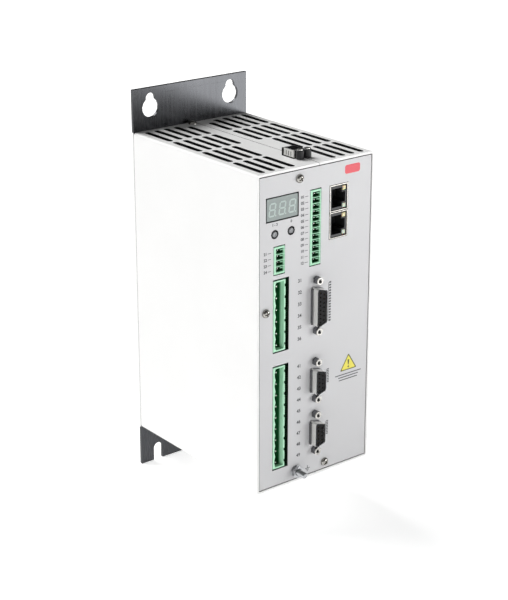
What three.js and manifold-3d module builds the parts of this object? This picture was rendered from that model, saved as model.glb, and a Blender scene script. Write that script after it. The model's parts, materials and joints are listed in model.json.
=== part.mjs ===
// Servo drive for a switch cabinet: a steel back plate that screws to the cabinet wall, two folded
// sheet covers that meet in a seam on top, a front panel with a display, two push buttons, terminal
// headers, two network jacks and three D-sub sockets, and the boards and power parts behind it.
// Millimetres. +Z is up, the front panel faces -Y, and the origin is the centre of the plate's back.

import * as THREE from "three";
import Module from "manifold-3d";
import { mergeVertices } from "three/addons/utils/BufferGeometryUtils.js";

const wasm = await Module();
wasm.setup();

// ---- driving dimensions ----------------------------------------------------------------------

const width = 92; // case, side to side
const height = 207; // case, bottom to top
const depth = 130; // back of the plate to the front edge of the covers
const tab = 28; // how far the plate stands past the case, above and below
const plateThick = 2; // mounting plate
const sheet = 1.5; // folded covers and front panel
const gap = 0.3; // clearance between two pieces that touch
const bendRadius = 2; // outside of a fold
const seamX = 1.4; // the seam between the covers
const seamGap = 0.6;

const plateFront = -plateThick;
const coverFront = -depth;
const panelFront = coverFront + 0.6; // the panel sits a little behind the cover edges
const panelGap = { left: 0.8, right: gap, top: 0.8, bottom: gap }; // it leans into the lower right corner
const panelBack = panelFront + sheet;
const boardFront = panelBack + 10.3; // control board, face towards the panel
const boardThick = 1.6;
const halfW = width / 2;
const halfH = height / 2;

const keyhole = { x: 32.1, z: halfH + 14.6, bigRadius: 6.4, smallRadius: 3.5, rise: 6.2 };
const slot = { x: 32.1, halfWidth: 3.5, top: -halfH - 15.8 };

const vent = { halfWidth: 2, length: 28.5, thinLength: 23.5, pitchX: 7.55, firstX: 8.6 };
const ventRows = [-20, -51.2, -82, -112.8]; // centre of each row of vents, back to front
const ventColumns = 5;

const windowBox = { x: -26.45, z: 80.5, w: 25.2, h: 15.4 };
const buttons = [{ name: "mode", x: -32.2, z: 64.8 }, { name: "set", x: -19.6, z: 64.8 }];
const buttonRadius = 2.25;
const buttonHole = 2.9;

const smallPitch = 3.81;
const smallHeaders = [
  { name: "logic_header", x: -28.7, z: 47.95, ways: 4 },
  { name: "signal_header", x: -0.5, z: 63, ways: 12 },
];
const smallHeader = { w: 8.3, ends: 2.1, endGap: 0.6, pocketLeft: -2.5, pocketRight: 3.3, rib: 0.55, pocketDeep: 8 };

const powerPitch = 7.62;
const powerHeaders = [
  { name: "supply_header", z: 12.15, ways: 6 },
  { name: "motor_header", z: -55.6, ways: 9 },
];
const powerHeader = { left: -33.1, right: -23.8, ends: 0.7, wallLeft: 1.2, wallRight: 1.9, scallop: 0.75, deep: 8.5 };
const powerRamp = { out: 0.9, deep: 3.4 }; // the right wall slopes back towards the mouth
const powerNotch = { wide: 1.8, in: 0.7, deep: 2.4 }; // coding notch in the right wall at each way
const powerCut = { left: -33.45, right: -20.9, ends: 2 };

const jack = { x: 17.95, upperZ: 78.55, lowerZ: 61.3, w: 14.6, h: 16.8, wall: 0.6, front: panelFront - 0.2 };
const plug = { left: -5.6, right: 2.4, halfHigh: 5.9, latchRight: 5.2, latchHalf: 3.2, deep: 9.5 };
const led = { left: 3, right: 5.6, low: 4.2, high: 6.9, deep: 3 };

const dsubX = 0.8;
const dsubs = [
  { name: "feedback_dsub", z: 12.4, shell: 24.7, screwSpan: 33.3, flange: 39.1 },
  { name: "upper_dsub", z: -37.5, shell: 16.3, screwSpan: 25, flange: 30.8 },
  { name: "lower_dsub", z: -73.4, shell: 16.3, screwSpan: 25, flange: 30.8 },
];
const dsubWide = 7.9; // shell across its narrow way
const dsubFlangeWide = 12.5;
const dsubReach = 6.3; // shell stands this far out of the panel
const jackscrew = { across: 4.8, tall: 3.7, thread: 1.5, bore: 1.1, boreDeep: 3 };

const panelScrews = [
  { name: "panel_screw_top", x: -13.4, z: 96.1 },
  { name: "panel_screw_left", x: -39, z: 16.1 },
  { name: "panel_screw_bottom", x: 9.5, z: -97.2 },
];
const screw = { headRadius: 2.8, headTall: 1.7, shank: 1.45, long: 6, cross: 0.55, crossReach: 1.6, crossDeep: 0.9 };
const earth = { x: -14.2, z: -96.6, radius: 2, reach: 9.5, washer: 4.2, washerThick: 0.8, nutAcross: 7, nutThick: 2.2 };

const auxPlug = { front: -114, back: -103, halfW: 4.2, top: halfH + 4.9, bottom: halfH - 6 };

// ---- materials -------------------------------------------------------------------------------

const paint = (color, roughness, metalness = 0) => new THREE.MeshStandardMaterial({ color, roughness, metalness });
const material = {
  plate: paint(0x4a4b4d, 0.35, 0.8),
  cover: paint(0xf3f3f2, 0.55),
  panel: paint(0xd6d6d7, 0.5),
  aluminium: paint(0xb9bcc0, 0.4, 1),
  nickel: paint(0xc8c8c6, 0.25, 1),
  zinc: paint(0xb4b5b6, 0.3, 1),
  black: paint(0x1b1c1d, 0.5),
  grey: paint(0x8f9192, 0.45),
  glass: paint(0x9ba7a4, 0.3),
  green: paint(0x8fe0b4, 0.4),
  board: paint(0x1f5a3a, 0.5),
  amber: paint(0xf2e6a8, 0.3),
  lime: paint(0xd4e8d8, 0.3),
  pale: paint(0xe4e4e0, 0.5),
  sleeve: paint(0x2a2f3a, 0.4),
  copper: paint(0xa65d34, 0.4, 0.8),
  yellow: paint(0xd8b84a, 0.5),
};

// ---- solids: geometry in, geometry out -------------------------------------------------------

function toSolid(geometry) {
  const bare = geometry.clone();
  bare.deleteAttribute("normal");
  bare.deleteAttribute("uv");
  const merged = mergeVertices(bare, 1e-5);
  const vertProperties = new Float32Array(merged.attributes.position.array);
  const triVerts = new Uint32Array(merged.index.array);
  return new wasm.Manifold(new wasm.Mesh({ numProp: 3, vertProperties, triVerts }));
}

function toGeometry(solid) {
  const mesh = solid.getMesh();
  const geometry = new THREE.BufferGeometry();
  geometry.setAttribute("position", new THREE.BufferAttribute(mesh.vertProperties, 3));
  geometry.setIndex(new THREE.BufferAttribute(mesh.triVerts, 1));
  geometry.computeVertexNormals();
  return geometry;
}

function combine(adds, cuts = []) {
  let solid = toSolid(adds[0]);
  for (const extra of adds.slice(1)) solid = solid.add(toSolid(extra));
  for (const hole of cuts) solid = solid.subtract(toSolid(hole));
  return toGeometry(solid);
}

// A block between two corners.
function block(x0, x1, y0, y1, z0, z1) {
  return new THREE.BoxGeometry(x1 - x0, y1 - y0, z1 - z0)
    .translate((x0 + x1) / 2, (y0 + y1) / 2, (z0 + z1) / 2);
}

// A round bar along Y, between y0 and y1.
function rodY(radius, y0, y1, x = 0, z = 0, sides = 20) {
  return new THREE.CylinderGeometry(radius, radius, y1 - y0, sides).translate(x, (y0 + y1) / 2, z);
}

// A six-sided bar along Y, measured across its flats.
function hexY(across, y0, y1, x = 0, z = 0) {
  return rodY(across / Math.sqrt(3), y0, y1, x, z, 6);
}

// A round bar along Z.
function rodZ(radius, z0, z1, x, y, sides = 20) {
  return new THREE.CylinderGeometry(radius, radius, z1 - z0, sides)
    .rotateX(Math.PI / 2)
    .translate(x, y, (z0 + z1) / 2);
}

// An outline drawn in X and Z, carried along Y from y0 to y1.
function slabXZ(shape, y0, y1, curveSegments = 6) {
  return new THREE.ExtrudeGeometry(shape, { depth: y1 - y0, bevelEnabled: false, curveSegments })
    .rotateX(Math.PI / 2)
    .translate(0, y1, 0);
}

// An outline drawn in X and Y, carried along Z from z0 to z1.
function slabXY(shape, z0, z1, curveSegments = 4) {
  return new THREE.ExtrudeGeometry(shape, { depth: z1 - z0, bevelEnabled: false, curveSegments })
    .translate(0, 0, z0);
}

function rectangle(x0, x1, z0, z1) {
  const path = new THREE.Shape();
  path.moveTo(x0, z0).lineTo(x1, z0).lineTo(x1, z1).lineTo(x0, z1).closePath();
  return path;
}

function circle(x, z, radius) {
  return new THREE.Shape().absarc(x, z, radius, 0, 2 * Math.PI, false);
}

// ---- back plate ------------------------------------------------------------------------------

function keyholeOutline(x) {
  const meet = Math.asin(keyhole.smallRadius / keyhole.bigRadius);
  const top = keyhole.z + keyhole.rise;
  return new THREE.Path()
    .absarc(x, keyhole.z, keyhole.bigRadius, Math.PI / 2 + meet, 5 * Math.PI / 2 - meet, false)
    .absarc(x, top, keyhole.smallRadius, 0, Math.PI, false)
    .closePath();
}

// The plate's outline, with the two open slots let into its lower edge.
function plateOutline() {
  const low = -halfH - tab;
  const high = halfH + tab;
  const path = new THREE.Shape();
  path.moveTo(-halfW, high).lineTo(-halfW, low);
  for (const x of [-slot.x, slot.x]) {
    path.lineTo(x - slot.halfWidth, low).lineTo(x - slot.halfWidth, slot.top - slot.halfWidth);
    path.absarc(x, slot.top - slot.halfWidth, slot.halfWidth, Math.PI, 0, true);
    path.lineTo(x + slot.halfWidth, low);
  }
  path.lineTo(halfW, low).lineTo(halfW, high).closePath();
  path.holes.push(keyholeOutline(-keyhole.x), keyholeOutline(keyhole.x));
  return path;
}

const coverScrew = { x: -2, y: -6.2 };

// Two ears folded forward off the plate carry the screws that hold the covers.
function mountingPlate() {
  const inside = halfH - sheet - gap;
  const ears = [1, -1].map((side) => {
    const z = [side * inside, side * (inside - sheet)].sort((a, b) => a - b);
    return block(-10, 10, -13, plateFront + 0.5, z[0], z[1]);
  });
  const holes = [1, -1].map((side) => {
    const z = [side * (inside - 4), side * (inside + 1)].sort((a, b) => a - b);
    return rodZ(screw.shank + gap, z[0], z[1], coverScrew.x, coverScrew.y, 12);
  });
  return combine([slabXZ(plateOutline(), plateFront, 0), ...ears], holes);
}

// ---- covers ----------------------------------------------------------------------------------

// One cover seen from the front: a C of folded sheet, open towards the seam. side is -1 or 1.
function coverOutline(side, edge) {
  const inner = bendRadius - sheet;
  const path = new THREE.Shape();
  const corner = (x, z, radius, from, to, clockwise) => path.absarc(x, z, radius, from, to, clockwise);
  const outX = side * (halfW - bendRadius);
  const outZ = halfH - bendRadius;
  const flip = side > 0;
  const east = side > 0 ? 0 : Math.PI;
  path.moveTo(edge, halfH).lineTo(outX, halfH);
  corner(outX, outZ, bendRadius, Math.PI / 2, east, flip);
  corner(outX, -outZ, bendRadius, east, flip ? -Math.PI / 2 : 3 * Math.PI / 2, flip);
  path.lineTo(edge, -halfH).lineTo(edge, -halfH + sheet);
  corner(outX, -outZ, inner, flip ? -Math.PI / 2 : 3 * Math.PI / 2, east, !flip);
  corner(outX, outZ, inner, east, Math.PI / 2, !flip);
  path.lineTo(edge, halfH - sheet).closePath();
  return path;
}

// A long vent with round ends, cut right through the top or the bottom of a cover.
function ventHole(x, y, length, z) {
  const reach = length / 2 - vent.halfWidth;
  const path = new THREE.Shape()
    .absarc(x, y + reach, vent.halfWidth, 0, Math.PI, false)
    .absarc(x, y - reach, vent.halfWidth, Math.PI, 2 * Math.PI, false);
  return slabXY(path, z - 2, z + 2, 4);
}

// The inner column stops after two rows, and is shorter at the back to clear the cover screw.
function ventHoles(side, z) {
  const holes = [];
  for (let column = 0; column < ventColumns; column += 1) {
    const x = side * (vent.firstX + column * vent.pitchX);
    ventRows.forEach((y, row) => {
      const inner = column === 0;
      if (inner && row > 1) return;
      const short = inner && row === 0;
      const length = short ? vent.thinLength : vent.length;
      holes.push(ventHole(x, y - (vent.length - length) / 2, length, z));
    });
  }
  return holes;
}

// Where the auxiliary plug passes through both covers.
function auxOpening() {
  const { front, back, halfW: half } = auxPlug;
  return block(-half - gap, half + gap, front - gap, back + gap, halfH - 4, halfH + 4);
}

// A lug behind the panel takes one of the panel screws.
function panelLug(at, x0, x1, z0, z1) {
  const lug = block(x0, x1, panelBack + gap, panelBack + gap + sheet, z0, z1);
  const hole = rodY(screw.shank + gap, panelBack - 2, panelBack + 5, at.x, at.z, 12);
  return { lug, hole };
}

function leftCover() {
  const body = slabXZ(coverOutline(-1, seamX - seamGap / 2), coverFront, plateFront - gap, 6);
  const [topScrew, leftScrew] = panelScrews;
  const top = panelLug(topScrew, -19, -8, 90.5, halfH - sheet / 2);
  const left = panelLug(leftScrew, -halfW + sheet / 2, -34.5, 10, 22);
  const screwHoles = [1, -1].map((side) => (
    rodZ(screw.shank + gap, side * halfH - 4, side * halfH + 4, coverScrew.x, coverScrew.y, 12)
  ));
  const vents = [...ventHoles(-1, halfH - sheet / 2), ...ventHoles(-1, -halfH + sheet / 2)];
  return combine([body, top.lug, left.lug], [...vents, ...screwHoles, auxOpening(), top.hole, left.hole]);
}

function rightCover() {
  const body = slabXZ(coverOutline(1, seamX + seamGap / 2), coverFront, plateFront - gap, 6);
  const bottom = panelLug(panelScrews[2], 4, 15, -halfH + sheet / 2, -91.5);
  const vents = [...ventHoles(1, halfH - sheet / 2), ...ventHoles(1, -halfH + sheet / 2)];
  return combine([body, bottom.lug], [...vents, auxOpening(), bottom.hole]);
}

// ---- front panel -----------------------------------------------------------------------------

function headerCut(header) {
  const half = (header.ways * smallPitch + smallHeader.ends) / 2 + smallHeader.endGap;
  const wide = smallHeader.w / 2 + gap;
  return rectangle(header.x - wide, header.x + wide, header.z - half, header.z + half);
}

function powerHeaderCut(header) {
  const half = header.ways * powerPitch / 2 + powerCut.ends / 2;
  return rectangle(powerCut.left, powerCut.right, header.z - half, header.z + half);
}

// A D-shaped outline: long side on the left, ends leaning in towards the right.
function dOutline(x, z, wide, long) {
  const lean = wide * Math.tan(10 * Math.PI / 180);
  const r = 1.6;
  const shape = new THREE.Shape();
  const halfWide = wide / 2;
  const half = long / 2;
  shape.absarc(x - halfWide + r, z + half - r, r, Math.PI / 2, Math.PI, false);
  shape.absarc(x - halfWide + r, z - half + r, r, Math.PI, 3 * Math.PI / 2, false);
  shape.absarc(x + halfWide - r, z - half + lean + r, r, -Math.PI / 2, 0, false);
  shape.absarc(x + halfWide - r, z + half - lean - r, r, 0, Math.PI / 2, false);
  return shape.closePath();
}

function frontPanel() {
  const insideX = halfW - sheet;
  const insideZ = halfH - sheet;
  const { x, z, w, h } = windowBox;
  const outline = rectangle(-insideX + panelGap.left, insideX - panelGap.right,
    -insideZ + panelGap.bottom, insideZ - panelGap.top);
  const jackHalf = jack.w / 2 + gap;
  outline.holes.push(
    rectangle(x - w / 2, x + w / 2, z - h / 2, z + h / 2),
    rectangle(jack.x - jackHalf, jack.x + jackHalf,
      jack.lowerZ - jack.h / 2 - gap, jack.upperZ + jack.h / 2 + gap),
    circle(earth.x, earth.z, earth.radius + 0.35),
    ...buttons.map((button) => circle(button.x, button.z, buttonHole)),
    ...smallHeaders.map(headerCut),
    ...powerHeaders.map(powerHeaderCut),
    ...panelScrews.map((each) => circle(each.x, each.z, screw.shank + gap)),
  );
  for (const dsub of dsubs) {
    outline.holes.push(dOutline(dsubX, dsub.z, dsubWide + 2 * gap, dsub.shell + 2 * gap));
    for (const side of [-1, 1]) {
      outline.holes.push(circle(dsubX, dsub.z + side * dsub.screwSpan / 2, jackscrew.thread + 0.4));
    }
  }
  return toGeometry(toSolid(slabXZ(outline, panelFront, panelBack, 5)));
}

// ---- display and buttons ---------------------------------------------------------------------

function displayModule() {
  const { x, z, w, h } = windowBox;
  const lip = 0.6; // stands this far past the window, behind the panel
  return block(x - w / 2 - lip, x + w / 2 + lip, panelBack + gap + 0.1, boardFront - gap,
    z - h / 2 - lip, z + h / 2 + lip);
}

// Cap, retaining collar and stem of a push button, turned about its own axis, pointing to -Y.
function buttonCap() {
  const capFront = panelFront - 0.3;
  const collar = panelBack + 0.7;
  const profile = [
    [0, capFront], [buttonRadius - 0.4, capFront], [buttonRadius, capFront + 0.4],
    [buttonRadius, collar], [buttonRadius + 1, collar], [buttonRadius + 1, collar + 1],
    [1.2, collar + 1], [1.2, boardFront - 4.7], [0, boardFront - 4.7],
  ];
  const points = profile.map(([radius, y]) => new THREE.Vector2(radius, y));
  return new THREE.LatheGeometry(points, 20);
}

// A square tactile switch with a short round plunger.
function tactSwitch() {
  const body = block(-3, 3, boardFront - gap - 3.4, boardFront - gap, -3, 3);
  return combine([body, rodY(1.7, boardFront - gap - 3.8, boardFront - gap - 3, 0, 0, 14)]);
}

// ---- terminal headers ------------------------------------------------------------------------

// A pluggable header with one pocket for each way.
function pocketHeader(ways) {
  const half = (ways * smallPitch + smallHeader.ends) / 2;
  const wide = smallHeader.w / 2;
  const front = panelFront - 0.1;
  const body = block(-wide, wide, front, boardFront - gap, -half, half);
  const pockets = [];
  for (let way = 0; way < ways; way += 1) {
    const z = (way - (ways - 1) / 2) * smallPitch;
    const reach = (smallPitch - smallHeader.rib) / 2;
    pockets.push(block(smallHeader.pocketLeft, smallHeader.pocketRight,
      front - 1, front + smallHeader.pocketDeep, z - reach, z + reach));
  }
  return combine([body], pockets);
}

// The long trough of a power header: straight on the right, one shallow arc for each way on the left.
function troughOutline(ways) {
  const half = ways * powerPitch / 2 - 0.9;
  const left = powerHeader.left + powerHeader.wallLeft + powerHeader.scallop;
  const right = powerHeader.right - powerHeader.wallRight;
  const steps = 6; // points along each arc
  const shape = new THREE.Shape();
  shape.moveTo(right, half).lineTo(left, half);
  for (let index = 1; index < ways * steps; index += 1) {
    const t = index / steps;
    const z = half - (2 * half) * (index / (ways * steps));
    shape.lineTo(left - powerHeader.scallop * Math.abs(Math.sin(Math.PI * t)), z);
  }
  shape.lineTo(left, -half).lineTo(right, -half).closePath();
  return shape;
}

function powerHeaderBody(ways) {
  const half = ways * powerPitch / 2 + powerHeader.ends / 2 - gap;
  const front = panelFront - 0.1;
  const body = block(powerHeader.left, powerHeader.right, front, boardFront - gap, -half, half);
  const inner = powerHeader.right - powerHeader.wallRight;
  const end = ways * powerPitch / 2 - 0.9;
  const ramp = new THREE.Shape();
  ramp.moveTo(inner - 0.2, front - 0.5).lineTo(inner + powerRamp.out, front - 0.5);
  ramp.lineTo(inner + powerRamp.out, front).lineTo(inner, front + powerRamp.deep);
  ramp.lineTo(inner - 0.2, front + powerRamp.deep).closePath();
  const notches = [];
  for (let way = 0; way < ways; way += 1) {
    const z = (way - (ways - 1) / 2) * powerPitch;
    notches.push(block(powerHeader.right - powerNotch.in, powerHeader.right + 1,
      front - 1, front + powerNotch.deep, z - powerNotch.wide / 2, z + powerNotch.wide / 2));
  }
  const trough = slabXZ(troughOutline(ways), front - 1, front + powerHeader.deep);
  return combine([body], [trough, slabXY(ramp, -end, end), ...notches]);
}

// ---- network jacks ---------------------------------------------------------------------------

function jackShield() {
  const w = jack.w / 2;
  const h = jack.h / 2;
  const outer = block(-w, w, jack.front, boardFront - gap, -h, h);
  const wall = jack.wall;
  return combine([outer], [block(-w + wall, w - wall, jack.front - 1, boardFront, -h + wall, h - wall)]);
}

// Plastic insert: the plug's cavity, its latch notch towards the right, and two pockets for lights.
function jackInsert() {
  const w = jack.w / 2 - jack.wall - gap;
  const h = jack.h / 2 - jack.wall - gap;
  const front = jack.front + 0.3;
  const body = block(-w, w, front, boardFront - 2 * gap, -h, h);
  const cavity = block(plug.left, plug.right, front - 1, front + plug.deep, -plug.halfHigh, plug.halfHigh);
  const latch = block(plug.right - 0.1, plug.latchRight, front - 1, front + plug.deep,
    -plug.latchHalf, plug.latchHalf);
  const pockets = [-1, 1].map((side) => {
    const z = [side * (led.low - gap), side * (led.high + gap)].sort((a, b) => a - b);
    return block(led.left - gap, led.right + gap, front - 1, front + led.deep, z[0], z[1]);
  });
  return combine([body], [cavity, latch, ...pockets]);
}

function jackLed() {
  const front = jack.front + 0.2;
  const half = (led.high - led.low) / 2;
  return block(led.left, led.right, front, front + led.deep - gap, -half, half);
}

// ---- D-sub sockets ---------------------------------------------------------------------------

function dsubShell(dsub) {
  const tip = panelFront - dsubReach;
  const flangeFront = panelBack + gap;
  const flangeBack = flangeFront + 0.8;
  const w = dsubFlangeWide / 2;
  const flange = block(-w, w, flangeFront, flangeBack, -dsub.flange / 2, dsub.flange / 2);
  const tube = slabXZ(dOutline(0, 0, dsubWide, dsub.shell), tip, flangeBack, 3);
  const bore = slabXZ(dOutline(0, 0, dsubWide - 1, dsub.shell - 1), tip - 1, flangeBack + 1, 3);
  const holes = [-1, 1].map((side) => (
    rodY(jackscrew.thread + 0.4, flangeFront - 1, flangeBack + 1, 0, side * dsub.screwSpan / 2, 12)
  ));
  return combine([flange, tube], [bore, ...holes]);
}

function dsubInsert(dsub) {
  const inset = 1 + 2 * gap;
  const outline = dOutline(0, 0, dsubWide - inset, dsub.shell - inset);
  return toGeometry(toSolid(slabXZ(outline, panelFront - dsubReach + 0.4, boardFront - gap, 3)));
}

// Hexagonal jackscrew: head on the panel, threaded hole in its face.
function hexJackscrew() {
  const base = panelFront - gap;
  const head = hexY(jackscrew.across, base - jackscrew.tall, base);
  const shank = rodY(jackscrew.thread, base - 0.5, panelBack + 3, 0, 0, 12);
  const bore = rodY(jackscrew.bore, base - jackscrew.tall - 1, base - jackscrew.tall + jackscrew.boreDeep, 0, 0, 12);
  return combine([head, shank], [bore]);
}

// ---- fasteners -------------------------------------------------------------------------------

// Pan-head screw with a cross recess, along Y, its head's underside at y = 0 and pointing to -Y.
function panHeadScrew() {
  const { headRadius, headTall, shank, long, cross, crossReach, crossDeep } = screw;
  const profile = [[0, -headTall], [headRadius * 0.6, -headTall], [headRadius * 0.92, -headTall * 0.6],
    [headRadius, 0], [shank, 0], [shank, long], [0, long]];
  const points = profile.map(([radius, y]) => new THREE.Vector2(radius, y));
  const turned = new THREE.LatheGeometry(points, 20);
  const deep = -headTall + crossDeep;
  const upright = block(-cross / 2, cross / 2, -headTall - 1, deep, -crossReach, crossReach);
  const level = block(-crossReach, crossReach, -headTall - 1, deep, -cross / 2, cross / 2);
  return combine([turned], [upright, level]);
}

function earthStud() {
  const rod = rodY(earth.radius, panelFront - earth.reach, panelBack + 1, 0, 0, 20);
  return combine([rod, rodY(3.8, panelBack + gap, panelBack + 2, 0, 0, 20)]);
}

function ringY(outer, inner, y0, y1, sides = 24) {
  return combine([rodY(outer, y0, y1, 0, 0, sides)], [rodY(inner, y0 - 1, y1 + 1, 0, 0, 20)]);
}

// ---- auxiliary plug on top -------------------------------------------------------------------

function auxPlugBody() {
  const { front, back, halfW: half, top, bottom } = auxPlug;
  return block(-half, half, front, back, bottom, top);
}

// A round wire entry with its mouth facing up.
function auxEntry() {
  const low = halfH + gap;
  const profile = [[0, low], [2.5, low], [2.5, low + 5.2], [2.1, low + 5.6], [1.7, low + 5.6],
    [1.1, low + 3.4], [0, low + 3.4]];
  const points = profile.map(([radius, z]) => new THREE.Vector2(radius, z));
  return new THREE.LatheGeometry(points, 18).rotateX(Math.PI / 2);
}

// ---- inside the case -------------------------------------------------------------------------

const fin = { count: 11, thick: 1.6, pitch: 7.4 };
const sink = { halfW: 38, halfH: 88, base: 6, finTips: plateFront - gap, baseBack: -24 };

// Extruded aluminium comb: fins run upright, tips against the plate, flat base towards the front.
function heatSink() {
  const front = sink.baseBack - sink.base;
  const path = new THREE.Shape();
  path.moveTo(-sink.halfW, front).lineTo(sink.halfW, front).lineTo(sink.halfW, sink.baseBack);
  for (let index = fin.count - 1; index >= 0; index -= 1) {
    const x = (index - (fin.count - 1) / 2) * fin.pitch;
    path.lineTo(x + fin.thick / 2, sink.baseBack).lineTo(x + fin.thick / 2, sink.finTips);
    path.lineTo(x - fin.thick / 2, sink.finTips).lineTo(x - fin.thick / 2, sink.baseBack);
  }
  path.lineTo(-sink.halfW, sink.baseBack).closePath();
  return toGeometry(toSolid(slabXY(path, -sink.halfH, sink.halfH)));
}

const sinkFront = sink.baseBack - sink.base;
const module = { thick: 12, halfW: 28, low: -40, high: 22 };
const powerBoardBack = sinkFront - gap - module.thick - gap;
const powerBoardFront = powerBoardBack - boardThick;
const partBack = powerBoardFront - gap; // where the power board's parts stand

function powerModule() {
  return block(-module.halfW, module.halfW, powerBoardBack + gap, sinkFront - gap, module.low, module.high);
}

// Capacitor can, standing forward off the power board, with a rolled edge at its front.
function canY(radius, long) {
  const profile = [[0, -long], [radius - 1.5, -long], [radius, -long + 1.5], [radius, 0], [0, 0]];
  return new THREE.LatheGeometry(profile.map(([r, y]) => new THREE.Vector2(r, y)), 24);
}

// ---- assembly --------------------------------------------------------------------------------

const drive = new THREE.Group();

function addPiece(name, geometry, look, x = 0, y = 0, z = 0, parent = drive) {
  const mesh = new THREE.Mesh(geometry, look);
  mesh.name = name;
  mesh.position.set(x, y, z);
  parent.add(mesh);
  return mesh;
}

addPiece("mounting_plate", mountingPlate(), material.plate);
addPiece("left_cover", leftCover(), material.cover);
addPiece("right_cover", rightCover(), material.cover);
addPiece("front_panel", frontPanel(), material.panel);

addPiece("display_module", displayModule(), material.glass);
const capGeometry = buttonCap();
const switchGeometry = tactSwitch();
for (const button of buttons) {
  addPiece(`${button.name}_button`, capGeometry, material.grey, button.x, 0, button.z);
  addPiece(`${button.name}_switch`, switchGeometry, material.black, button.x, 0, button.z);
}

for (const header of smallHeaders) {
  addPiece(header.name, pocketHeader(header.ways), material.green, header.x, 0, header.z);
}
for (const header of powerHeaders) {
  addPiece(header.name, powerHeaderBody(header.ways), material.green, 0, 0, header.z);
}

// Each jack is a small group: shield, insert and its two lights.
for (const [level, z] of [["upper", jack.upperZ], ["lower", jack.lowerZ]]) {
  const group = new THREE.Group();
  group.position.set(jack.x, 0, z);
  drive.add(group);
  const ledZ = (led.low + led.high) / 2;
  addPiece(`${level}_jack_shield`, jackShield(), material.nickel, 0, 0, 0, group);
  addPiece(`${level}_jack_insert`, jackInsert(), material.black, 0, 0, 0, group);
  addPiece(`${level}_jack_amber_led`, jackLed(), material.amber, 0, 0, ledZ, group);
  addPiece(`${level}_jack_green_led`, jackLed(), material.lime, 0, 0, -ledZ, group);
}

const jackscrewGeometry = hexJackscrew();
for (const dsub of dsubs) {
  addPiece(`${dsub.name}_shell`, dsubShell(dsub), material.nickel, dsubX, 0, dsub.z);
  addPiece(`${dsub.name}_insert`, dsubInsert(dsub), material.black, dsubX, 0, dsub.z);
  for (const [place, side] of [["top", 1], ["bottom", -1]]) {
    const z = dsub.z + side * dsub.screwSpan / 2;
    addPiece(`${dsub.name}_jackscrew_${place}`, jackscrewGeometry, material.nickel, dsubX, 0, z);
  }
}

const screwGeometry = panHeadScrew();
for (const each of panelScrews) {
  addPiece(each.name, screwGeometry, material.zinc, each.x, panelFront - gap, each.z);
}
const topScrew = addPiece("cover_screw_top", screwGeometry, material.zinc,
  coverScrew.x, coverScrew.y, halfH + gap);
topScrew.rotation.x = -Math.PI / 2;
const bottomScrew = addPiece("cover_screw_bottom", screwGeometry, material.zinc,
  coverScrew.x, coverScrew.y, -halfH - gap);
bottomScrew.rotation.x = Math.PI / 2;

const washerBack = panelFront - gap;
const washerFront = washerBack - earth.washerThick;
const nutFront = washerFront - gap - earth.nutThick;
addPiece("earth_stud", earthStud(), material.nickel, earth.x, 0, earth.z);
addPiece("earth_washer", ringY(earth.washer, earth.radius + gap, washerFront, washerBack), material.zinc,
  earth.x, 0, earth.z);
addPiece("earth_nut", combine([hexY(earth.nutAcross, nutFront, washerFront - gap)],
  [rodY(earth.radius + gap, nutFront - 1, washerFront + 1)]), material.nickel, earth.x, 0, earth.z);

addPiece("aux_plug_body", auxPlugBody(), material.black);
addPiece("aux_plug_plate", block(-auxPlug.halfW - gap - 0.9, -auxPlug.halfW - gap,
  auxPlug.front, auxPlug.back, halfH + gap, auxPlug.top), material.pale);
for (const [place, x] of [["left", -2.9], ["right", 2.9]]) {
  addPiece(`aux_plug_entry_${place}`, auxEntry(), material.black, x, auxPlug.front - gap - 2.6, 0);
}

addPiece("heat_sink", heatSink(), material.aluminium);
addPiece("power_module", powerModule(), material.black);
addPiece("power_board", block(-42, 42, powerBoardFront, powerBoardBack, -93, 93), material.board);
addPiece("control_board", block(-43, 43, boardFront, boardFront + boardThick, -98, 96), material.board);
addPiece("riser_board", block(36, 36 + boardThick, boardFront + boardThick + gap, partBack, -60, 45),
  material.board);
for (const [place, x, z] of [["upper_left", -37, 84], ["upper_right", 37, 84], ["lower_left", -37, -84],
  ["lower_right", 37, -84]]) {
  const inset = x > 0 ? -3 : 3;
  addPiece(`board_spacer_${place}`, hexY(5.5, powerBoardBack + gap, sinkFront - gap), material.zinc,
    x + inset, 0, z);
}
const canGeometry = canY(14, 46);
for (const [place, x, z] of [["top_left", -25, 77], ["top_middle", 6, 77], ["low_left", -25, 46]]) {
  addPiece(`bus_capacitor_${place}`, canGeometry, material.sleeve, x, partBack, z);
}
addPiece("filter_choke", ringY(13, 6, -14, 0, 20), material.copper, 8, partBack, 44);
addPiece("supply_transformer", block(-36, -12, partBack - 22, partBack, -10, 18), material.yellow);
addPiece("inrush_relay", block(0, 16, partBack - 16, partBack, -20, 9), material.black);

export default drive;
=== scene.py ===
# %% [markdown]
# # A servo drive for a switch cabinet
# The drive is a folded sheet-metal case screwed to a cabinet wall by the steel plate at its back.
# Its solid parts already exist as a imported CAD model, and every one of them keeps its size and place.
# This lesson gives those parts their real finishes and builds the small pieces that CAD left plain:
# screws, pins, contacts, display segments and the print on the front panel.

# %% Load the frame and the tools
import json
import math

import bmesh
import bpy
import numpy as np
from mathutils import Matrix, Vector


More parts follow.
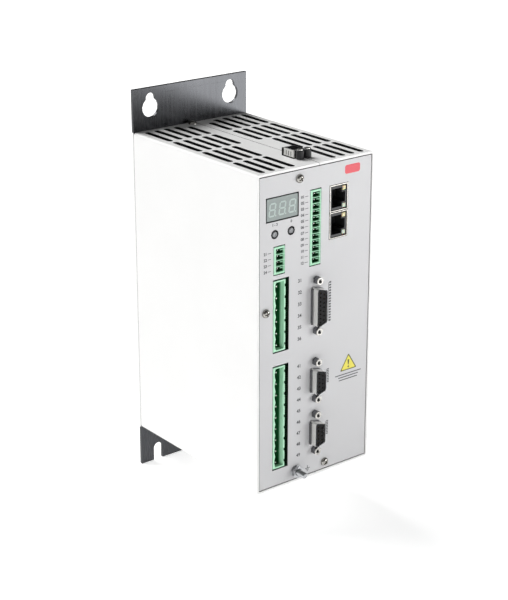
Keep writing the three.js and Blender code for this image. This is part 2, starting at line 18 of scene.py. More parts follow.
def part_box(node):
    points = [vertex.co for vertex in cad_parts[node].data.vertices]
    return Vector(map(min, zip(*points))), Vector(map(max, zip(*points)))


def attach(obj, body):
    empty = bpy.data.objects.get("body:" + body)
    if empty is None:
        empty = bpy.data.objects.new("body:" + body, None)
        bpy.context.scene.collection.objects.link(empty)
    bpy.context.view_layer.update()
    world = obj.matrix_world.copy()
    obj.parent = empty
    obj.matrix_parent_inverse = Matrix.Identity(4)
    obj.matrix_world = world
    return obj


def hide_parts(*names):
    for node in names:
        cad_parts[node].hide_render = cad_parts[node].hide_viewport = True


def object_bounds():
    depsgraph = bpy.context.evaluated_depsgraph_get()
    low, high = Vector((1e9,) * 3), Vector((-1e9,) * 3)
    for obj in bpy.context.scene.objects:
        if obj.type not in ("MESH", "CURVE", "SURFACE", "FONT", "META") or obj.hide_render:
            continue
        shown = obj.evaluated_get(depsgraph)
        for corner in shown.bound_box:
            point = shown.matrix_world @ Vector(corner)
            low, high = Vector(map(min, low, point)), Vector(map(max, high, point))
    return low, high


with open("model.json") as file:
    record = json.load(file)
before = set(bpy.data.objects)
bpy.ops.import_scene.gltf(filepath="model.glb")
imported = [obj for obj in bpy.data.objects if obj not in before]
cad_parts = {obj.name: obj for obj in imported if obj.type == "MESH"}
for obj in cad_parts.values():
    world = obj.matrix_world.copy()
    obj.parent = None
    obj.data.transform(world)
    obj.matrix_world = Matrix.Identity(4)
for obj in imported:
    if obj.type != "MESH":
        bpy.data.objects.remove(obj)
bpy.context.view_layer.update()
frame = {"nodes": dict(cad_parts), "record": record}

nodes = frame["nodes"]

# %% [markdown]
# ## Reading sizes from the frame
# Shapes below are worked out in millimetres and turned to metres when the mesh is made. Nothing is
# placed by eye: each piece asks the CAD part that it belongs to where it is.

# %% Boxes in millimetres
MM = 0.001


def box_mm(node):
    """Lowest and highest corner of a CAD part, in millimetres."""
    low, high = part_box(node)
    return np.array(low) / MM, np.array(high) / MM


panel_front = box_mm("front_panel")[0][1]
cover_low, cover_high = box_mm("left_cover")
shell_front = box_mm("feedback_dsub_shell")[0][1]
standoff_front = box_mm("feedback_dsub_jackscrew_top")[0][1]
print("front panel face at y =", round(panel_front, 2), "mm")

# %% [markdown]
# ## Colours and shader nodes
# Colours are written as sRGB hex, the way a paint card or a screen gives them. The shader adds light,
# so it needs linear values, and one function converts them. One more function adds a shader node with
# its settings, and gives each of its sockets a number, a colour or a link from another node, so that
# each recipe below reads as a list. A noise pattern's scale counts its patches in a metre, so a patch of
# some millimetres is 1000 over that number.

# %% Colour conversion and the node helper


def linear(code):
    """Linear colour from a hex code: c/12.92 up to 0.04045, else ((c + 0.055)/1.055) to the power 2.4."""
    channels = [int(code[i:i + 2], 16) / 255 for i in (1, 3, 5)]
    return (*[c / 12.92 if c <= 0.04045 else ((c + 0.055) / 1.055) ** 2.4 for c in channels], 1.0)


def add(tree, kind, inputs=(), **settings):
    """One shader node: its settings, then a number, a colour or a link for each socket that is named."""
    node = tree.nodes.new(kind)
    for key, value in settings.items():
        setattr(node, key, value)
    for socket, value in dict(inputs).items():
        if isinstance(value, bpy.types.NodeSocket):
            tree.links.new(value, node.inputs[socket])
        else:
            node.inputs[socket].default_value = value
    return node


def begin(name, **numbers):
    """A new material with one Principled shader. Returns the material, its tree, the shader and places."""
    material = bpy.data.materials.new(name)
    material.use_nodes = True
    tree = material.node_tree
    tree.nodes.clear()
    shader = add(tree, "ShaderNodeBsdfPrincipled")
    for socket, value in numbers.items():
        shader.inputs[socket.replace("_", " ")].default_value = value
    add(tree, "ShaderNodeOutputMaterial", {"Surface": shader.outputs["BSDF"]})
    place = add(tree, "ShaderNodeTexCoord").outputs["Object"]
    return material, tree, shader, place


# %% [markdown]
# ## Steps that recipes share
# Most finishes vary in gloss from patch to patch and have a fine grain, so one step links both. Some also
# look different from place to place, such as on a cut end, so another step tells how far along one axis
# the shaded point is.

# %% Gloss with grain, and zones along an axis


def skin(tree, shader, patch, low, high, grain, strength, depth_mm):
    """Roughness from low to high as the patch pattern goes from 0 to 1, and the grain pattern as a bump
    that is depth_mm tall."""
    gloss = add(tree, "ShaderNodeMapRange", {"Value": patch, "To Min": low, "To Max": high})
    bump = add(tree, "ShaderNodeBump", {"Height": grain, "Strength": strength, "Distance": depth_mm * MM})
    tree.links.new(gloss.outputs["Result"], shader.inputs["Roughness"])
    tree.links.new(bump.outputs["Normal"], shader.inputs["Normal"])


def zone(tree, place, axis, start_mm, end_mm):
    """0 at start_mm along the axis and before it, 1 at end_mm and past it, and straight in between. The
    end may be the smaller of the two, and then the zone runs the other way."""
    along = add(tree, "ShaderNodeSeparateXYZ", {0: place}).outputs[axis]
    return add(tree, "ShaderNodeMapRange", {"Value": along, "From Min": start_mm * MM,
               "From Max": end_mm * MM}).outputs["Result"]


# %% [markdown]
# ## Powder coat
# The covers and the panel are folded steel sheet with a baked powder coat. Powder melts into a skin that
# is never quite flat: it has a fine pebbling about a millimetre across, called orange peel, and a slow
# drift in shade over the whole sheet. Both are drawn, and the pebbling goes into the bump, because it
# changes how light glances off and not the paint's colour. Inside the covers, on their punched vents and
# behind the panel's face, the covers get a near-black painted shade, and the panel's cut edges behind its
# face get a dark painted shade too, so a material also asks where it is.

# %% Powder-coated steel
BEND = 2.0


def powder_coat(name, colour, shade, rough, peel_mm=1.1):
    """The coat with its colour not linked yet. Returns that colour last, to be laid over another one."""
    material, tree, shader, place = begin(name, IOR=1.5)
    drift = add(tree, "ShaderNodeTexNoise", {"Vector": place, "Scale": 1000 / 45, "Detail": 2.0})
    patch = add(tree, "ShaderNodeTexNoise", {"Vector": place, "Scale": 1000 / 8, "Detail": 3.0})
    peel = add(tree, "ShaderNodeTexNoise", {"Vector": place, "Scale": 1000 / peel_mm, "Detail": 2.0})
    mix = add(tree, "ShaderNodeMix", {0: drift.outputs["Fac"], 6: linear(colour), 7: linear(shade)},
              data_type="RGBA")
    skin(tree, shader, patch.outputs["Fac"], rough - 0.05, rough + 0.07, peel.outputs["Fac"], 0.25, 0.04)
    return material, tree, shader, place, mix.outputs[2]


def cover_coat(name, colour, shade, inside_shade, rough):
    """White outside. Inside, on the vents' punched edges and on the rim behind the panel's face, it gets a
    near-black painted shade, which makes the vents and the gap at the panel look dark. The distance from the
    core of the case, a box set in by one bend radius, is that radius on the outer skin and less anywhere
    within the sheet: the square root of the sum, over X and Z, of max(0, |coordinate| - the core's reach)
    squared."""
    material, tree, shader, place, paint = powder_coat(name, colour, shade, rough)
    axes = add(tree, "ShaderNodeSeparateXYZ", {0: place})
    squares = []
    for axis, reach in {"X": -cover_low[0] - BEND, "Z": cover_high[2] - BEND}.items():
        size = add(tree, "ShaderNodeMath", {0: axes.outputs[axis]}, operation="ABSOLUTE")
        past = add(tree, "ShaderNodeMath", {0: size.outputs[0], 1: reach * MM}, operation="SUBTRACT")
        past = add(tree, "ShaderNodeMath", {0: 0.0, 1: past.outputs[0]}, operation="MAXIMUM").outputs[0]
        squares.append(add(tree, "ShaderNodeMath", {0: past, 1: past}, operation="MULTIPLY").outputs[0])
    total = add(tree, "ShaderNodeMath", {0: squares[0], 1: squares[1]}, operation="ADD")
    reached = add(tree, "ShaderNodeMath", {0: total.outputs[0]}, operation="SQRT")
    outer = add(tree, "ShaderNodeMapRange", {"Value": reached.outputs[0], "From Min": (BEND - 0.16) * MM,
                "From Max": (BEND - 0.06) * MM})
    rim = zone(tree, place, "Y", panel_front + 0.2, panel_front)
    painted = add(tree, "ShaderNodeMath", {0: outer.outputs["Result"], 1: rim}, operation="MAXIMUM")
    # near-black painted shade inside the covers, on the vents' punched edges and behind the panel's face
    mix = add(tree, "ShaderNodeMix", {0: painted.outputs[0], 6: linear(inside_shade), 7: paint}, data_type="RGBA")
    tree.links.new(mix.outputs[2], shader.inputs["Base Color"])
    return material


def panel_coat(name, colour, shade, edge, rough):
    """Light grey on the face, and a dark painted shade on all that lies behind it,
    the cut edges of its windows and holes.
    """
    material, tree, shader, place, paint = powder_coat(name, colour, shade, rough, 0.8)
    face = zone(tree, place, "Y", panel_front + 0.2, panel_front + 0.12)
    # dark painted shade behind the panel's face
    mix = add(tree, "ShaderNodeMix", {0: face, 6: linear(edge), 7: paint}, data_type="RGBA")
    tree.links.new(mix.outputs[2], shader.inputs["Base Color"])
    return material


# the fourth colour is the near-black painted shade inside the covers and in their vents
cover_paint = cover_coat("powder_coated_steel_white", "#f4f4f3", "#efefee", "#08080a", 0.4)
# the fourth colour is the dark painted shade on the panel's cut edges
panel_paint = panel_coat("powder_coated_steel_light_grey", "#cfcfd0", "#cacacc", "#1a1b1c", 0.45)
print("powder coats:", cover_paint.name, panel_paint.name)

# %% [markdown]
# ## Rolled and plated metal
# The mounting plate is cold-rolled steel with a dark conversion coat. Rolling leaves long faint streaks,
# so the noise is squeezed across the sheet and stretched along it. The plate's long edges are coated
# white beside the covers. Screws and sockets are zinc, tin or nickel plated: bright, with small cloudy
# patches where fingers and tools have been. Metals keep the shader's own IOR, because their shine comes
# from the colour of the metal.

# %% Rolled, extruded and plated metals


def streaked_metal(name, colour, shade, rough, width_mm, length_mm, depth_mm, coated=None):
    """Metal with streaks along Z: noise whose patch is width_mm across and length_mm long. coated is a
    paint on the side edges, the x in millimetres where they begin, and the height up to which it goes."""
    material, tree, shader, place = begin(name, Metallic=1.0)
    across, along = 1000 / width_mm, 1000 / length_mm
    squeeze = add(tree, "ShaderNodeMapping", {"Vector": place, "Scale": (across, across, along)})
    streak = add(tree, "ShaderNodeTexNoise", {"Vector": squeeze.outputs["Vector"], "Scale": 1.0,
                 "Detail": 5.0, "Roughness": 0.6}).outputs["Fac"]
    cloud = add(tree, "ShaderNodeTexNoise", {"Vector": place, "Scale": 1000 / 30, "Detail": 3.0})
    blend = add(tree, "ShaderNodeMath", {0: streak, 1: cloud.outputs["Fac"]}, operation="MULTIPLY")
    mix = add(tree, "ShaderNodeMix", {0: blend.outputs[0], 6: linear(shade), 7: linear(colour)},
              data_type="RGBA")
    if coated:
        code, aside, upto = coated
        axes = add(tree, "ShaderNodeSeparateXYZ", {0: place})
        edge, height = [add(tree, "ShaderNodeMath", {0: axes.outputs[axis]}, operation="ABSOLUTE").outputs[0]
                        for axis in "XZ"]
        inwards = add(tree, "ShaderNodeMapRange", {"Value": edge, "From Min": (aside + 0.05) * MM,
                      "From Max": aside * MM})
        above = add(tree, "ShaderNodeMapRange", {"Value": height, "From Min": (upto - 0.1) * MM,
                    "From Max": upto * MM})
        bare_and_front_tone = add(tree, "ShaderNodeMath", {0: above.outputs["Result"], 1: inwards.outputs["Result"]},
                   operation="MAXIMUM").outputs[0]
        mix = add(tree, "ShaderNodeMix", {0: bare_and_front_tone, 6: linear(code), 7: mix.outputs[2]}, data_type="RGBA")
        tree.links.new(bare_and_front_tone, shader.inputs["Metallic"])
    tree.links.new(mix.outputs[2], shader.inputs["Base Color"])
    skin(tree, shader, streak, rough - 0.08, rough + 0.1, streak, 0.2, depth_mm)
    return material


def plated(name, colour, shade, rough, front_tone_and_highlight=None):
    """Plated metal: cloudy patches of about 2 mm in colour and gloss, and a fine grain of 0.3 mm. The last
    argument is a colour painted on the part's front, and the y in millimetres in front of which it shows:
    a painted highlight on the standoffs' ends, and a dark grey on the shells' front rims."""
    material, tree, shader, place = begin(name, Metallic=1.0)
    cloud = add(tree, "ShaderNodeTexNoise", {"Vector": place, "Scale": 1000 / 2, "Detail": 4.0})
    grain = add(tree, "ShaderNodeTexNoise", {"Vector": place, "Scale": 1000 / 0.3, "Detail": 2.0})
    mix = add(tree, "ShaderNodeMix", {0: cloud.outputs["Fac"], 6: linear(colour), 7: linear(shade)},
              data_type="RGBA")
    if front_tone_and_highlight:
        code, start = front_tone_and_highlight
        # the front colour: a painted highlight on the standoffs' ends, a dark grey on the shells' rims
        bare_and_front_tone = zone(tree, place, "Y", start, start - 0.05)
        mix = add(tree, "ShaderNodeMix", {0: bare_and_front_tone, 6: mix.outputs[2], 7: linear(code)}, data_type="RGBA")
    tree.links.new(mix.outputs[2], shader.inputs["Base Color"])
    skin(tree, shader, cloud.outputs["Fac"], rough - 0.06, rough + 0.12, grain.outputs["Fac"], 0.15, 0.02)
    return material


plate_steel = streaked_metal("cold_rolled_steel_dark", "#57585b", "#47484a", 0.26, 2.5, 60, 0.006,
                             coated=("#f2f2f1", -cover_low[0] - 0.12, cover_high[2]))
sink_metal = streaked_metal("extruded_aluminium", "#c2c4c8", "#9a9ca1", 0.4, 0.6, 80, 0.02)
nickel = plated("nickel_plated_steel", "#bdbbb6", "#807e7a", 0.17)
# the dark grey front colour is painted on the shells' front rims
shell_tin = plated("tinned_steel_shell", "#fbfaf8", "#efeeea", 0.42, front_tone_and_highlight=("#3c3d3f", shell_front + 0.16))
# the lighter front colour is a painted highlight on the standoffs' ends
standoff_steel = plated("turned_steel_standoff", "#8c8d90", "#5a5b5d", 0.22,
                        front_tone_and_highlight=("#b7b5b1", standoff_front + 0.5))
shoulder_steel = plated("formed_steel_shoulder", "#8b8c8e", "#6a6b6d", 0.35)
zinc = plated("zinc_plated_steel", "#c9cacc", "#9fa1a4", 0.3)
tin = plated("tinned_brass_pin", "#dcdcd8", "#c2c2bd", 0.2)
gold = plated("gold_flashed_contact", "#e3c069", "#c79f48", 0.24)
print("metals:", [m.name for m in (plate_steel, sink_metal, nickel, zinc, tin, gold)])

# %% [markdown]
# ## Moulded plastics
# Terminal headers are glass-filled polyamide in pale green. Down in the pockets, where little light reaches,
# the colour turns dark green: a painted shade. Jack inserts and plugs are black thermoplastic with the matt
# skin that a spark-eroded mould leaves. All get a fine grain in the bump and a slow change in gloss. The
# light pipes are milky, so a little light travels inside them: that is the subsurface part.

# %% Plastics


def moulded(name, colour, shade, rough, grain_mm=0.35, glow=0.0, ior=1.49, deep=None):
    """Moulded plastic. glow is how much light scatters inside it, for milky plastics. deep is a painted
    shade:
    a dark colour that takes over between two depths behind the panel's face, down in pockets, holes and gaps."""
    material, tree, shader, place = begin(name, IOR=ior, Subsurface_Weight=glow, Subsurface_Scale=0.0015)
    flow = add(tree, "ShaderNodeTexNoise", {"Vector": place, "Scale": 1000 / 6, "Detail": 3.0})
    grain = add(tree, "ShaderNodeTexNoise", {"Vector": place, "Scale": 1000 / grain_mm, "Detail": 3.0})
    mix = add(tree, "ShaderNodeMix", {0: flow.outputs["Fac"], 6: linear(colour), 7: linear(shade)},
              data_type="RGBA")
    if deep:
        code, first, last = deep
        # painted shade: the colour turns to the dark one between the two depths behind the panel's face
        sunk = zone(tree, place, "Y", panel_front + first, panel_front + last)
        mix = add(tree, "ShaderNodeMix", {0: sunk, 6: mix.outputs[2], 7: linear(code)}, data_type="RGBA")
    tree.links.new(mix.outputs[2], shader.inputs["Base Color"])
    skin(tree, shader, flow.outputs["Fac"], rough - 0.06, rough + 0.08, grain.outputs["Fac"], 0.3, 0.02)
    return material


# deep: the dark green painted shade down in the header pockets
terminal_green = moulded("polyamide_pale_green", "#b2e8c6", "#a0deb6", 0.38, 0.5, ior=1.53,
                         deep=("#125a2e", 0.6, 1.6))
power_green = moulded("polyamide_pale_green_pocket_shade", "#bff2d2", "#abe6bf", 0.38, 0.5, ior=1.53,
                      deep=("#0f6231", 2.3, 3.5))
black_plastic = moulded("glass_filled_black_plastic", "#1c1d1f", "#262729", 0.45)
insert_black = moulded("moulded_black_insert", "#040405", "#070708", 0.6, ior=1.3)
# deep: near black behind the panel's face, a painted shade in the gap round each cap
cap_grey = moulded("moulded_grey_cap", "#a0a2a4", "#8c8e91", 0.35, deep=("#030303", 0.3, 0.7))
pale_plastic = moulded("moulded_pale_plastic", "#e6e6e2", "#d8d8d4", 0.45)
sleeve = moulded("shrink_sleeve_blue_black", "#262b38", "#1c202b", 0.3)
tape = moulded("yellow_winding_tape", "#e2bb3c", "#cfa52c", 0.35)
amber_light = moulded("amber_light_pipe", "#e6dcae", "#cfc492", 0.2, glow=0.5)
green_light = moulded("green_light_pipe", "#cdd8cb", "#b3c6b4", 0.2, glow=0.5)
segment_pale = moulded("display_segment", "#b4c3bf", "#a8b8b4", 0.35)
# deep: the lens's sides and the display module behind it turn near black, a painted shade in the window
display_face = moulded("display_face_grey", "#87928f", "#7e8986", 0.3, deep=("#030303", 0.4, 0.8))
print("plastics:", terminal_green.name, black_plastic.name, cap_grey.name)

# %% [markdown]
# ## Boards and windings
# A circuit board is green solder mask over copper tracks. The tracks show as a slightly lighter green,
# so a brick pattern with long thin bricks stands for them, at a track pitch of about 1.5 mm. The choke is
# wound with enamelled copper, a metal under a thin amber coat.

# %% Solder mask and copper wire


def solder_mask(name, mask, track):
    """Green mask with rows of lighter tracks, and clouds where the mask is thinner."""
    material, tree, shader, place = begin(name, IOR=1.5, Roughness=0.3)
    turn = add(tree, "ShaderNodeMapping", {"Vector": place, "Rotation": (math.pi / 2, 0, 0)})
    bricks = add(tree, "ShaderNodeTexBrick", {
        "Vector": turn.outputs["Vector"], "Color1": linear(mask), "Color2": linear(mask),
        "Mortar": linear(track), "Scale": 1000 / 9, "Mortar Size": 0.02, "Brick Width": 1.1,
        "Row Height": 0.17})
    cloud = add(tree, "ShaderNodeTexNoise", {"Vector": place, "Scale": 1000 / 12, "Detail": 3.0})
    thin = add(tree, "ShaderNodeMapRange", {"Value": cloud.outputs["Fac"], "From Min": 0.5,
               "From Max": 0.75, "To Max": 0.35})
    mix = add(tree, "ShaderNodeMix", {0: thin.outputs["Result"], 6: bricks.outputs["Color"],
              7: linear(track)}, data_type="RGBA")
    bump = add(tree, "ShaderNodeBump", {"Height": bricks.outputs["Fac"], "Strength": 0.4,
               "Distance": 0.03 * MM})
    tree.links.new(mix.outputs[2], shader.inputs["Base Color"])
    tree.links.new(bump.outputs["Normal"], shader.inputs["Normal"])
    return material


board_green = solder_mask("solder_mask_green", "#14502f", "#2f7a4a")
copper = plated("enamelled_copper_wire", "#b8663a", "#8f4422", 0.28)
print("boards and windings:", board_green.name, copper.name)

# %% [markdown]
# ## Finishing the CAD parts
# A CAD part arrives as loose triangles with knife-sharp edges. Real sheet and moulded parts catch light
# on a small radius at each edge, so each part gets two modifiers: Weld joins the triangles, and Bevel
# rounds the edges. The mesh itself stays as it came.

# %% Finish and soften each CAD part
finish_of = {
    "plate_steel": (plate_steel, 0.25), "cover_paint": (cover_paint, 0.18),
    "panel_paint": (panel_paint, 0.18), "display_face": (display_face, 0.1),
    "button_grey": (cap_grey, 0.1), "black_plastic": (black_plastic, 0.15),
    "terminal_green": (terminal_green, 0.15), "nickel_plate": (nickel, 0.1),
    "light_amber": (amber_light, 0.3), "light_green": (green_light, 0.3),
    "zinc_steel": (zinc, 0.12), "pale_plastic": (pale_plastic, 0.2),
    "heat_sink_aluminium": (sink_metal, 0.2), "board_green": (board_green, 0.1),
    "capacitor_sleeve": (sleeve, 0.3), "copper_wire": (copper, 0.5), "tape_yellow": (tape, 0.4),
}
slot_of = {entry["node"]: entry["material_slot"] for entry in frame["record"]["subparts"]}
WELD_WITHIN, SHARP_ANGLE = 0.002, math.radians(35)  # millimetres, and flatter edges stay as they are


def soften(node, width_mm):
    """Weld and Bevel on a CAD part, so that its sharp edges get a radius."""
    weld = node.modifiers.new("weld", "WELD")
    weld.merge_threshold = WELD_WITHIN * MM
    bevel = node.modifiers.new("edge_radius", "BEVEL")
    bevel.width = width_mm * MM
    bevel.segments = 2
    bevel.limit_method = "ANGLE"
    bevel.angle_limit = SHARP_ANGLE
    bevel.use_clamp_overlap = True


finish_of_part = {
    **{name: (shell_tin, 0.15) for name in nodes if name.endswith("dsub_shell")},
    "supply_header": (power_green, 0.15), "motor_header": (power_green, 0.15),
}
for name, node in nodes.items():
    look, radius = finish_of_part.get(name, finish_of[slot_of[name]])
    for holder in node.material_slots:
        holder.material = look
    soften(node, radius)
print("finished CAD parts:", len(nodes))

# %% [markdown]
# ## How new pieces are made
# Every new piece is a surface on a grid: a rule gives the point for each row and column, whole arrays at
# a time. Round pieces are rings about a line, so a row is one ring, and its radius may change with the
# angle: a constant makes a rod, a six-sided rule makes a hexagon, and a wave that climbs with the angle
# makes a screw thread. Grids are then joined into one mesh, and doubled points at seams are merged.

# %% From grids to one mesh


def grid_faces(rows, columns, first):
    """Four-sided faces of a grid of points numbered row by row, the first of them numbered first."""
    corner = (first + np.arange(rows - 1)[:, None] * columns + np.arange(columns - 1)).ravel()
    return np.stack([corner, corner + 1, corner + columns + 1, corner + columns], axis=1)


def settle(mesh, look, body, sharp, name):
    """Merge doubles, point faces outwards, mark sharp edges and let the piece ride on its body."""
    work = bmesh.new()
    work.from_mesh(mesh)
    bmesh.ops.remove_doubles(work, verts=work.verts, dist=0.000001)
    bmesh.ops.dissolve_degenerate(work, edges=work.edges, dist=0.000001)
    bmesh.ops.recalc_face_normals(work, faces=work.faces)
    work.to_mesh(mesh)
    work.free()
    mesh.shade_smooth()
    mesh.set_sharp_from_angle(angle=math.radians(sharp))
    mesh.materials.clear()
    mesh.materials.append(look)
    piece = bpy.data.objects.new(name, mesh)
    bpy.context.scene.collection.objects.link(piece)
    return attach(piece, body)


def make_piece(name, grids, look, body="drive", sharp=35):
    """One piece from grids of points in millimetres, each rows x columns x 3."""
    points, faces, first = [], [], 0
    for grid in grids:
        rows, columns = grid.shape[:2]
        points.append(grid.reshape(-1, 3))
        faces.append(grid_faces(rows, columns, first))
        first += rows * columns
    mesh = bpy.data.meshes.new(name)
    mesh.from_pydata((np.concatenate(points) * MM).tolist(), [], np.concatenate(faces).tolist())
    return settle(mesh, look, body, sharp, name)


# %% Rings, hexagons and threads
ANGLES = np.linspace(0, 2 * np.pi, 49)


def rings(rows, centre, angle=ANGLES):
    """Rings about a line along Y through (x, z) = centre. A row is (radius, y), each of them one number
    for the whole ring or one number per angle. A point is centre + radius (cos angle, sin angle)."""
    radius = np.stack([np.broadcast_to(r, angle.shape) for r, _ in rows])
    along = np.stack([np.broadcast_to(y, angle.shape) for _, y in rows])
    return np.stack([centre[0] + radius * np.cos(angle), along, centre[1] + radius * np.sin(angle)], axis=-1)


def hexagon(across, angle=ANGLES):
    """Radius of a hexagon, measured across its flats: half of that over the cosine of the angle to the
    nearest flat's middle."""
    sixth = np.pi / 3
    return across / 2 / np.cos(np.mod(angle + sixth / 2, sixth) - sixth / 2)


def thread(radius, pitch, deep, start, end, angle=ANGLES, per_turn=8):
    """Rows of a screw thread from y = start to end. The radius dips by deep once a pitch, and the dip
    climbs by one pitch for each turn: radius - deep (1 + cos(2 pi y / pitch - angle)) / 2."""
    count = max(2, int(abs(end - start) / pitch * per_turn) + 1)
    heights = np.linspace(start, end, count)
    return [(radius - deep * (1 + np.cos(2 * np.pi * y / pitch - angle)) / 2, y) for y in heights]


print("ring grid:", rings([(1, 0), (1, 1)], (0, 0)).shape)

# %% [markdown]
# ## Screws that hold the panel and the covers
# They are pan-head screws with a cross recess, nickel plated. The head is a height over a disc: it falls
# from the middle to the rim like a flattened dome, and the cross is pressed into it with sloping walls.
# A polar grid suits this, because the rim stays perfectly round.

# %% Cross-recessed screws
FINE = np.linspace(0, 2 * np.pi, 97)
HEAD, SHANK = 2.8, 1.4  # radii, in millimetres like every size below
CROSS_ARM, CROSS_REACH, CROSS_DEEP = 0.46, 1.75, 1.0
SEAT = 0.02  # how far a seated part stands off, so that no two faces share a place


def cross_recess(radius, angle, arm, reach, wall=0.16):
    """1 in the two arms of a cross and 0 outside: how far the nearer axis is from the arm's edge, over
    the width of the sloping wall, times how far the ring is from the arm's end, over twice that width."""
    aside = radius * np.minimum(np.abs(np.cos(angle)), np.abs(np.sin(angle)))
    return np.clip((arm - aside) / wall, 0, 1) * np.clip((reach - radius) / (2 * wall), 0, 1)


def pan_head(tall, base, centre, turn, shank_end):
    """Pan head, then a threaded shank. The head's height is tall (1 - (r / radius)^3)^0.5 less the cross,
    and its rings are closest together as far out as the cross goes."""
    rows = []
    for r in np.concatenate([np.linspace(0, 1.9, 26), np.linspace(2.0, HEAD, 12)]):
        dome = tall * math.sqrt(max(0.0, 1 - (r / HEAD) ** 3))
        rows.append((r, base - dome + CROSS_DEEP * cross_recess(r, FINE - turn, CROSS_ARM, CROSS_REACH)))
    rows.append((SHANK, base))
    rows += thread(SHANK, 0.5, 0.25, base, shank_end, FINE, 4)
    rows.append((0, shank_end))
    return rings(rows, centre, FINE)


SCREW_TURNS = {"panel_screw_top": 0.5, "panel_screw_left": 0.15, "panel_screw_bottom": 0.85}  # radians
COVER_TURN = 0.4
for name, turn in SCREW_TURNS.items():
    low, high = box_mm(name)
    x, _, z = (low + high) / 2
    grid = pan_head(panel_front - low[1] - SEAT, panel_front - SEAT, (x, z), turn, high[1])
    made = make_piece(name + "_head", [grid], nickel)
    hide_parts(name)
for name, side in {"cover_screw_top": 1, "cover_screw_bottom": -1}.items():
    low, high = box_mm(name)
    x, y, _ = (low + high) / 2
    tip, end = (high[2], low[2]) if side > 0 else (low[2], high[2])
    face = cover_high[2] * side
    grid = pan_head(abs(tip - face) - SEAT, -abs(face) - SEAT, (x, side * y), COVER_TURN, -abs(end))
    upright = np.stack([grid[..., 0], side * grid[..., 2], -side * grid[..., 1]], axis=-1)
    made = make_piece(name + "_head", [upright], nickel)
    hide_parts(name)
print("screws:", len(SCREW_TURNS) + 2)

# %% [markdown]
# ## Jackscrews beside the D-sub sockets
# Each socket has a hexagonal standoff above and below it, with a tapped hole for the cable plug's screw.
# A turning tool leaves a chamfer on the hexagon's end: the radius there is the smaller of the hexagon
# and a widening cone, and that is what curves the flats off at their tips.

# %% Hexagonal jackscrews
STANDOFF = 4.8  # across the flats
CONE_START, CONE_SLOPE = 0.485, 1.73

def chamfered(across, face, depth, inward, steps=6):
    """Rows of a hexagon whose end at y = face is cut by a cone of 30 degrees. inward is the way into the
    metal, +1 or -1. The radius is the smaller of the hexagon and 0.97 half-flats + 1.73 x depth."""
    return [(np.minimum(hexagon(across), CONE_START * across + CONE_SLOPE * d), face + inward * d)
            for d in np.linspace(0, depth, steps)]


def jackscrew(low, high):
    """Threaded shank behind the panel, the hexagon in front of it, and a tapped hole in its tip."""
    x, _, z = (low + high) / 2
    tip, base = low[1], panel_front - SEAT
    rows = [(0, high[1]), *thread(1.4, 0.6, 0.25, high[1], base), (hexagon(STANDOFF), base),
            *reversed(chamfered(STANDOFF, tip, 0.4, 1)), (1.45, tip),
            *thread(1.15, 0.6, 0.22, tip + 0.3, tip + 3), (0, tip + 3.6)]
    return rings(rows, (x, z))


jackscrews = [name for name in nodes if "jackscrew" in name]
for name in jackscrews:
    made = make_piece(name + "_standoff", [jackscrew(*box_mm(name))], standoff_steel, sharp=25)
    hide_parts(name)
print("jackscrews:", len(jackscrews))

# %% [markdown]
# ## The earth stud
# A threaded stud carries the protective earth: washer, nut, and a free length of thread for the lug.

# %% Stud, washer and nut
FLANGE, FLANGE_THICK, STUD = 3.7, 1.6, 2.0
low, high = box_mm("earth_stud")
stud_at = ((low + high) / 2)[[0, 2]]
stud_tip = low[1]
rows = [(0, high[1]), (FLANGE, high[1]), (FLANGE, high[1] - FLANGE_THICK), (1.9, high[1] - FLANGE_THICK),
        (1.9, panel_front), *thread(STUD, 0.7, 0.3, panel_front, stud_tip + 0.5), (1.35, stud_tip),
        (0, stud_tip)]
stud = make_piece("earth_stud_thread", [rings(rows, stud_at)], zinc, sharp=50)
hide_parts("earth_stud")

BORE, RIM, SOFT = 2.15, 4.2, 0.12
face, back = panel_front - 0.82, panel_front - SEAT
rows = [(BORE, back), (RIM - SOFT, back), (RIM, back - SOFT), (RIM, face + SOFT), (RIM - SOFT, face),
        (BORE + SOFT, face), (BORE, face + SOFT), (BORE, back)]
washer = make_piece("earth_washer_ring", [rings(rows, stud_at)], zinc)
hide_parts("earth_washer")

NUT, NUT_TALL, NUT_MOUTH = 7, 2.2, 2.5
front, rear = face - NUT_TALL, face - SEAT
rows = [*chamfered(NUT, front, 0.4, 1), *reversed(chamfered(NUT, rear, 0.3, -1)), (NUT_MOUTH, rear),
        *thread(BORE, 0.7, 0.1, rear - 0.3, front + 0.3), (NUT_MOUTH, front), (CONE_START * NUT, front)]
nut = make_piece("earth_nut_hexagon", [rings(rows, stud_at)], zinc, sharp=25)
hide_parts("earth_nut")
print("earth stud, washer and nut at x, z =", stud_at.round(2))

# %% [markdown]
# ## Push-button caps
# The caps are smaller than their holes, and their tops are dished so that a fingertip or a pen finds the
# middle. The dish is a shallow paraboloid, and the rim is a small quarter round. The caps ride on the
# bodies that travel when a button is pressed, and the switches behind them stay put.

# %% Dished caps
CAP, DISH, HOLLOW, ROUND = 1.7, 0.5, 1.35, 0.35
STEM, COLLAR, PLUNGER = 2.25, 3.25, 1.2
for name in ("mode_button", "set_button"):
    low, high = box_mm(name)
    at = ((low + high) / 2)[[0, 2]]
    top = low[1]
    rows = [(r, top + DISH * (1 - (r / HOLLOW) ** 2)) for r in np.linspace(0, HOLLOW, 10)]
    rows += [(CAP - ROUND * (1 - math.sin(t)), top + ROUND * (1 - math.cos(t)))
             for t in np.linspace(0, 1.5, 6)]
    rows += [(STEM, high[1] - 5), (COLLAR, high[1] - 5), (COLLAR, high[1] - 4), (PLUNGER, high[1] - 4),
             (PLUNGER, high[1]), (0, high[1])]
    made = make_piece(name + "_cap", [rings(rows, at)], cap_grey, body=name)
    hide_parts(name)
    print(name, "cap at x, z =", at.round(2), "top at y =", round(top, 2))

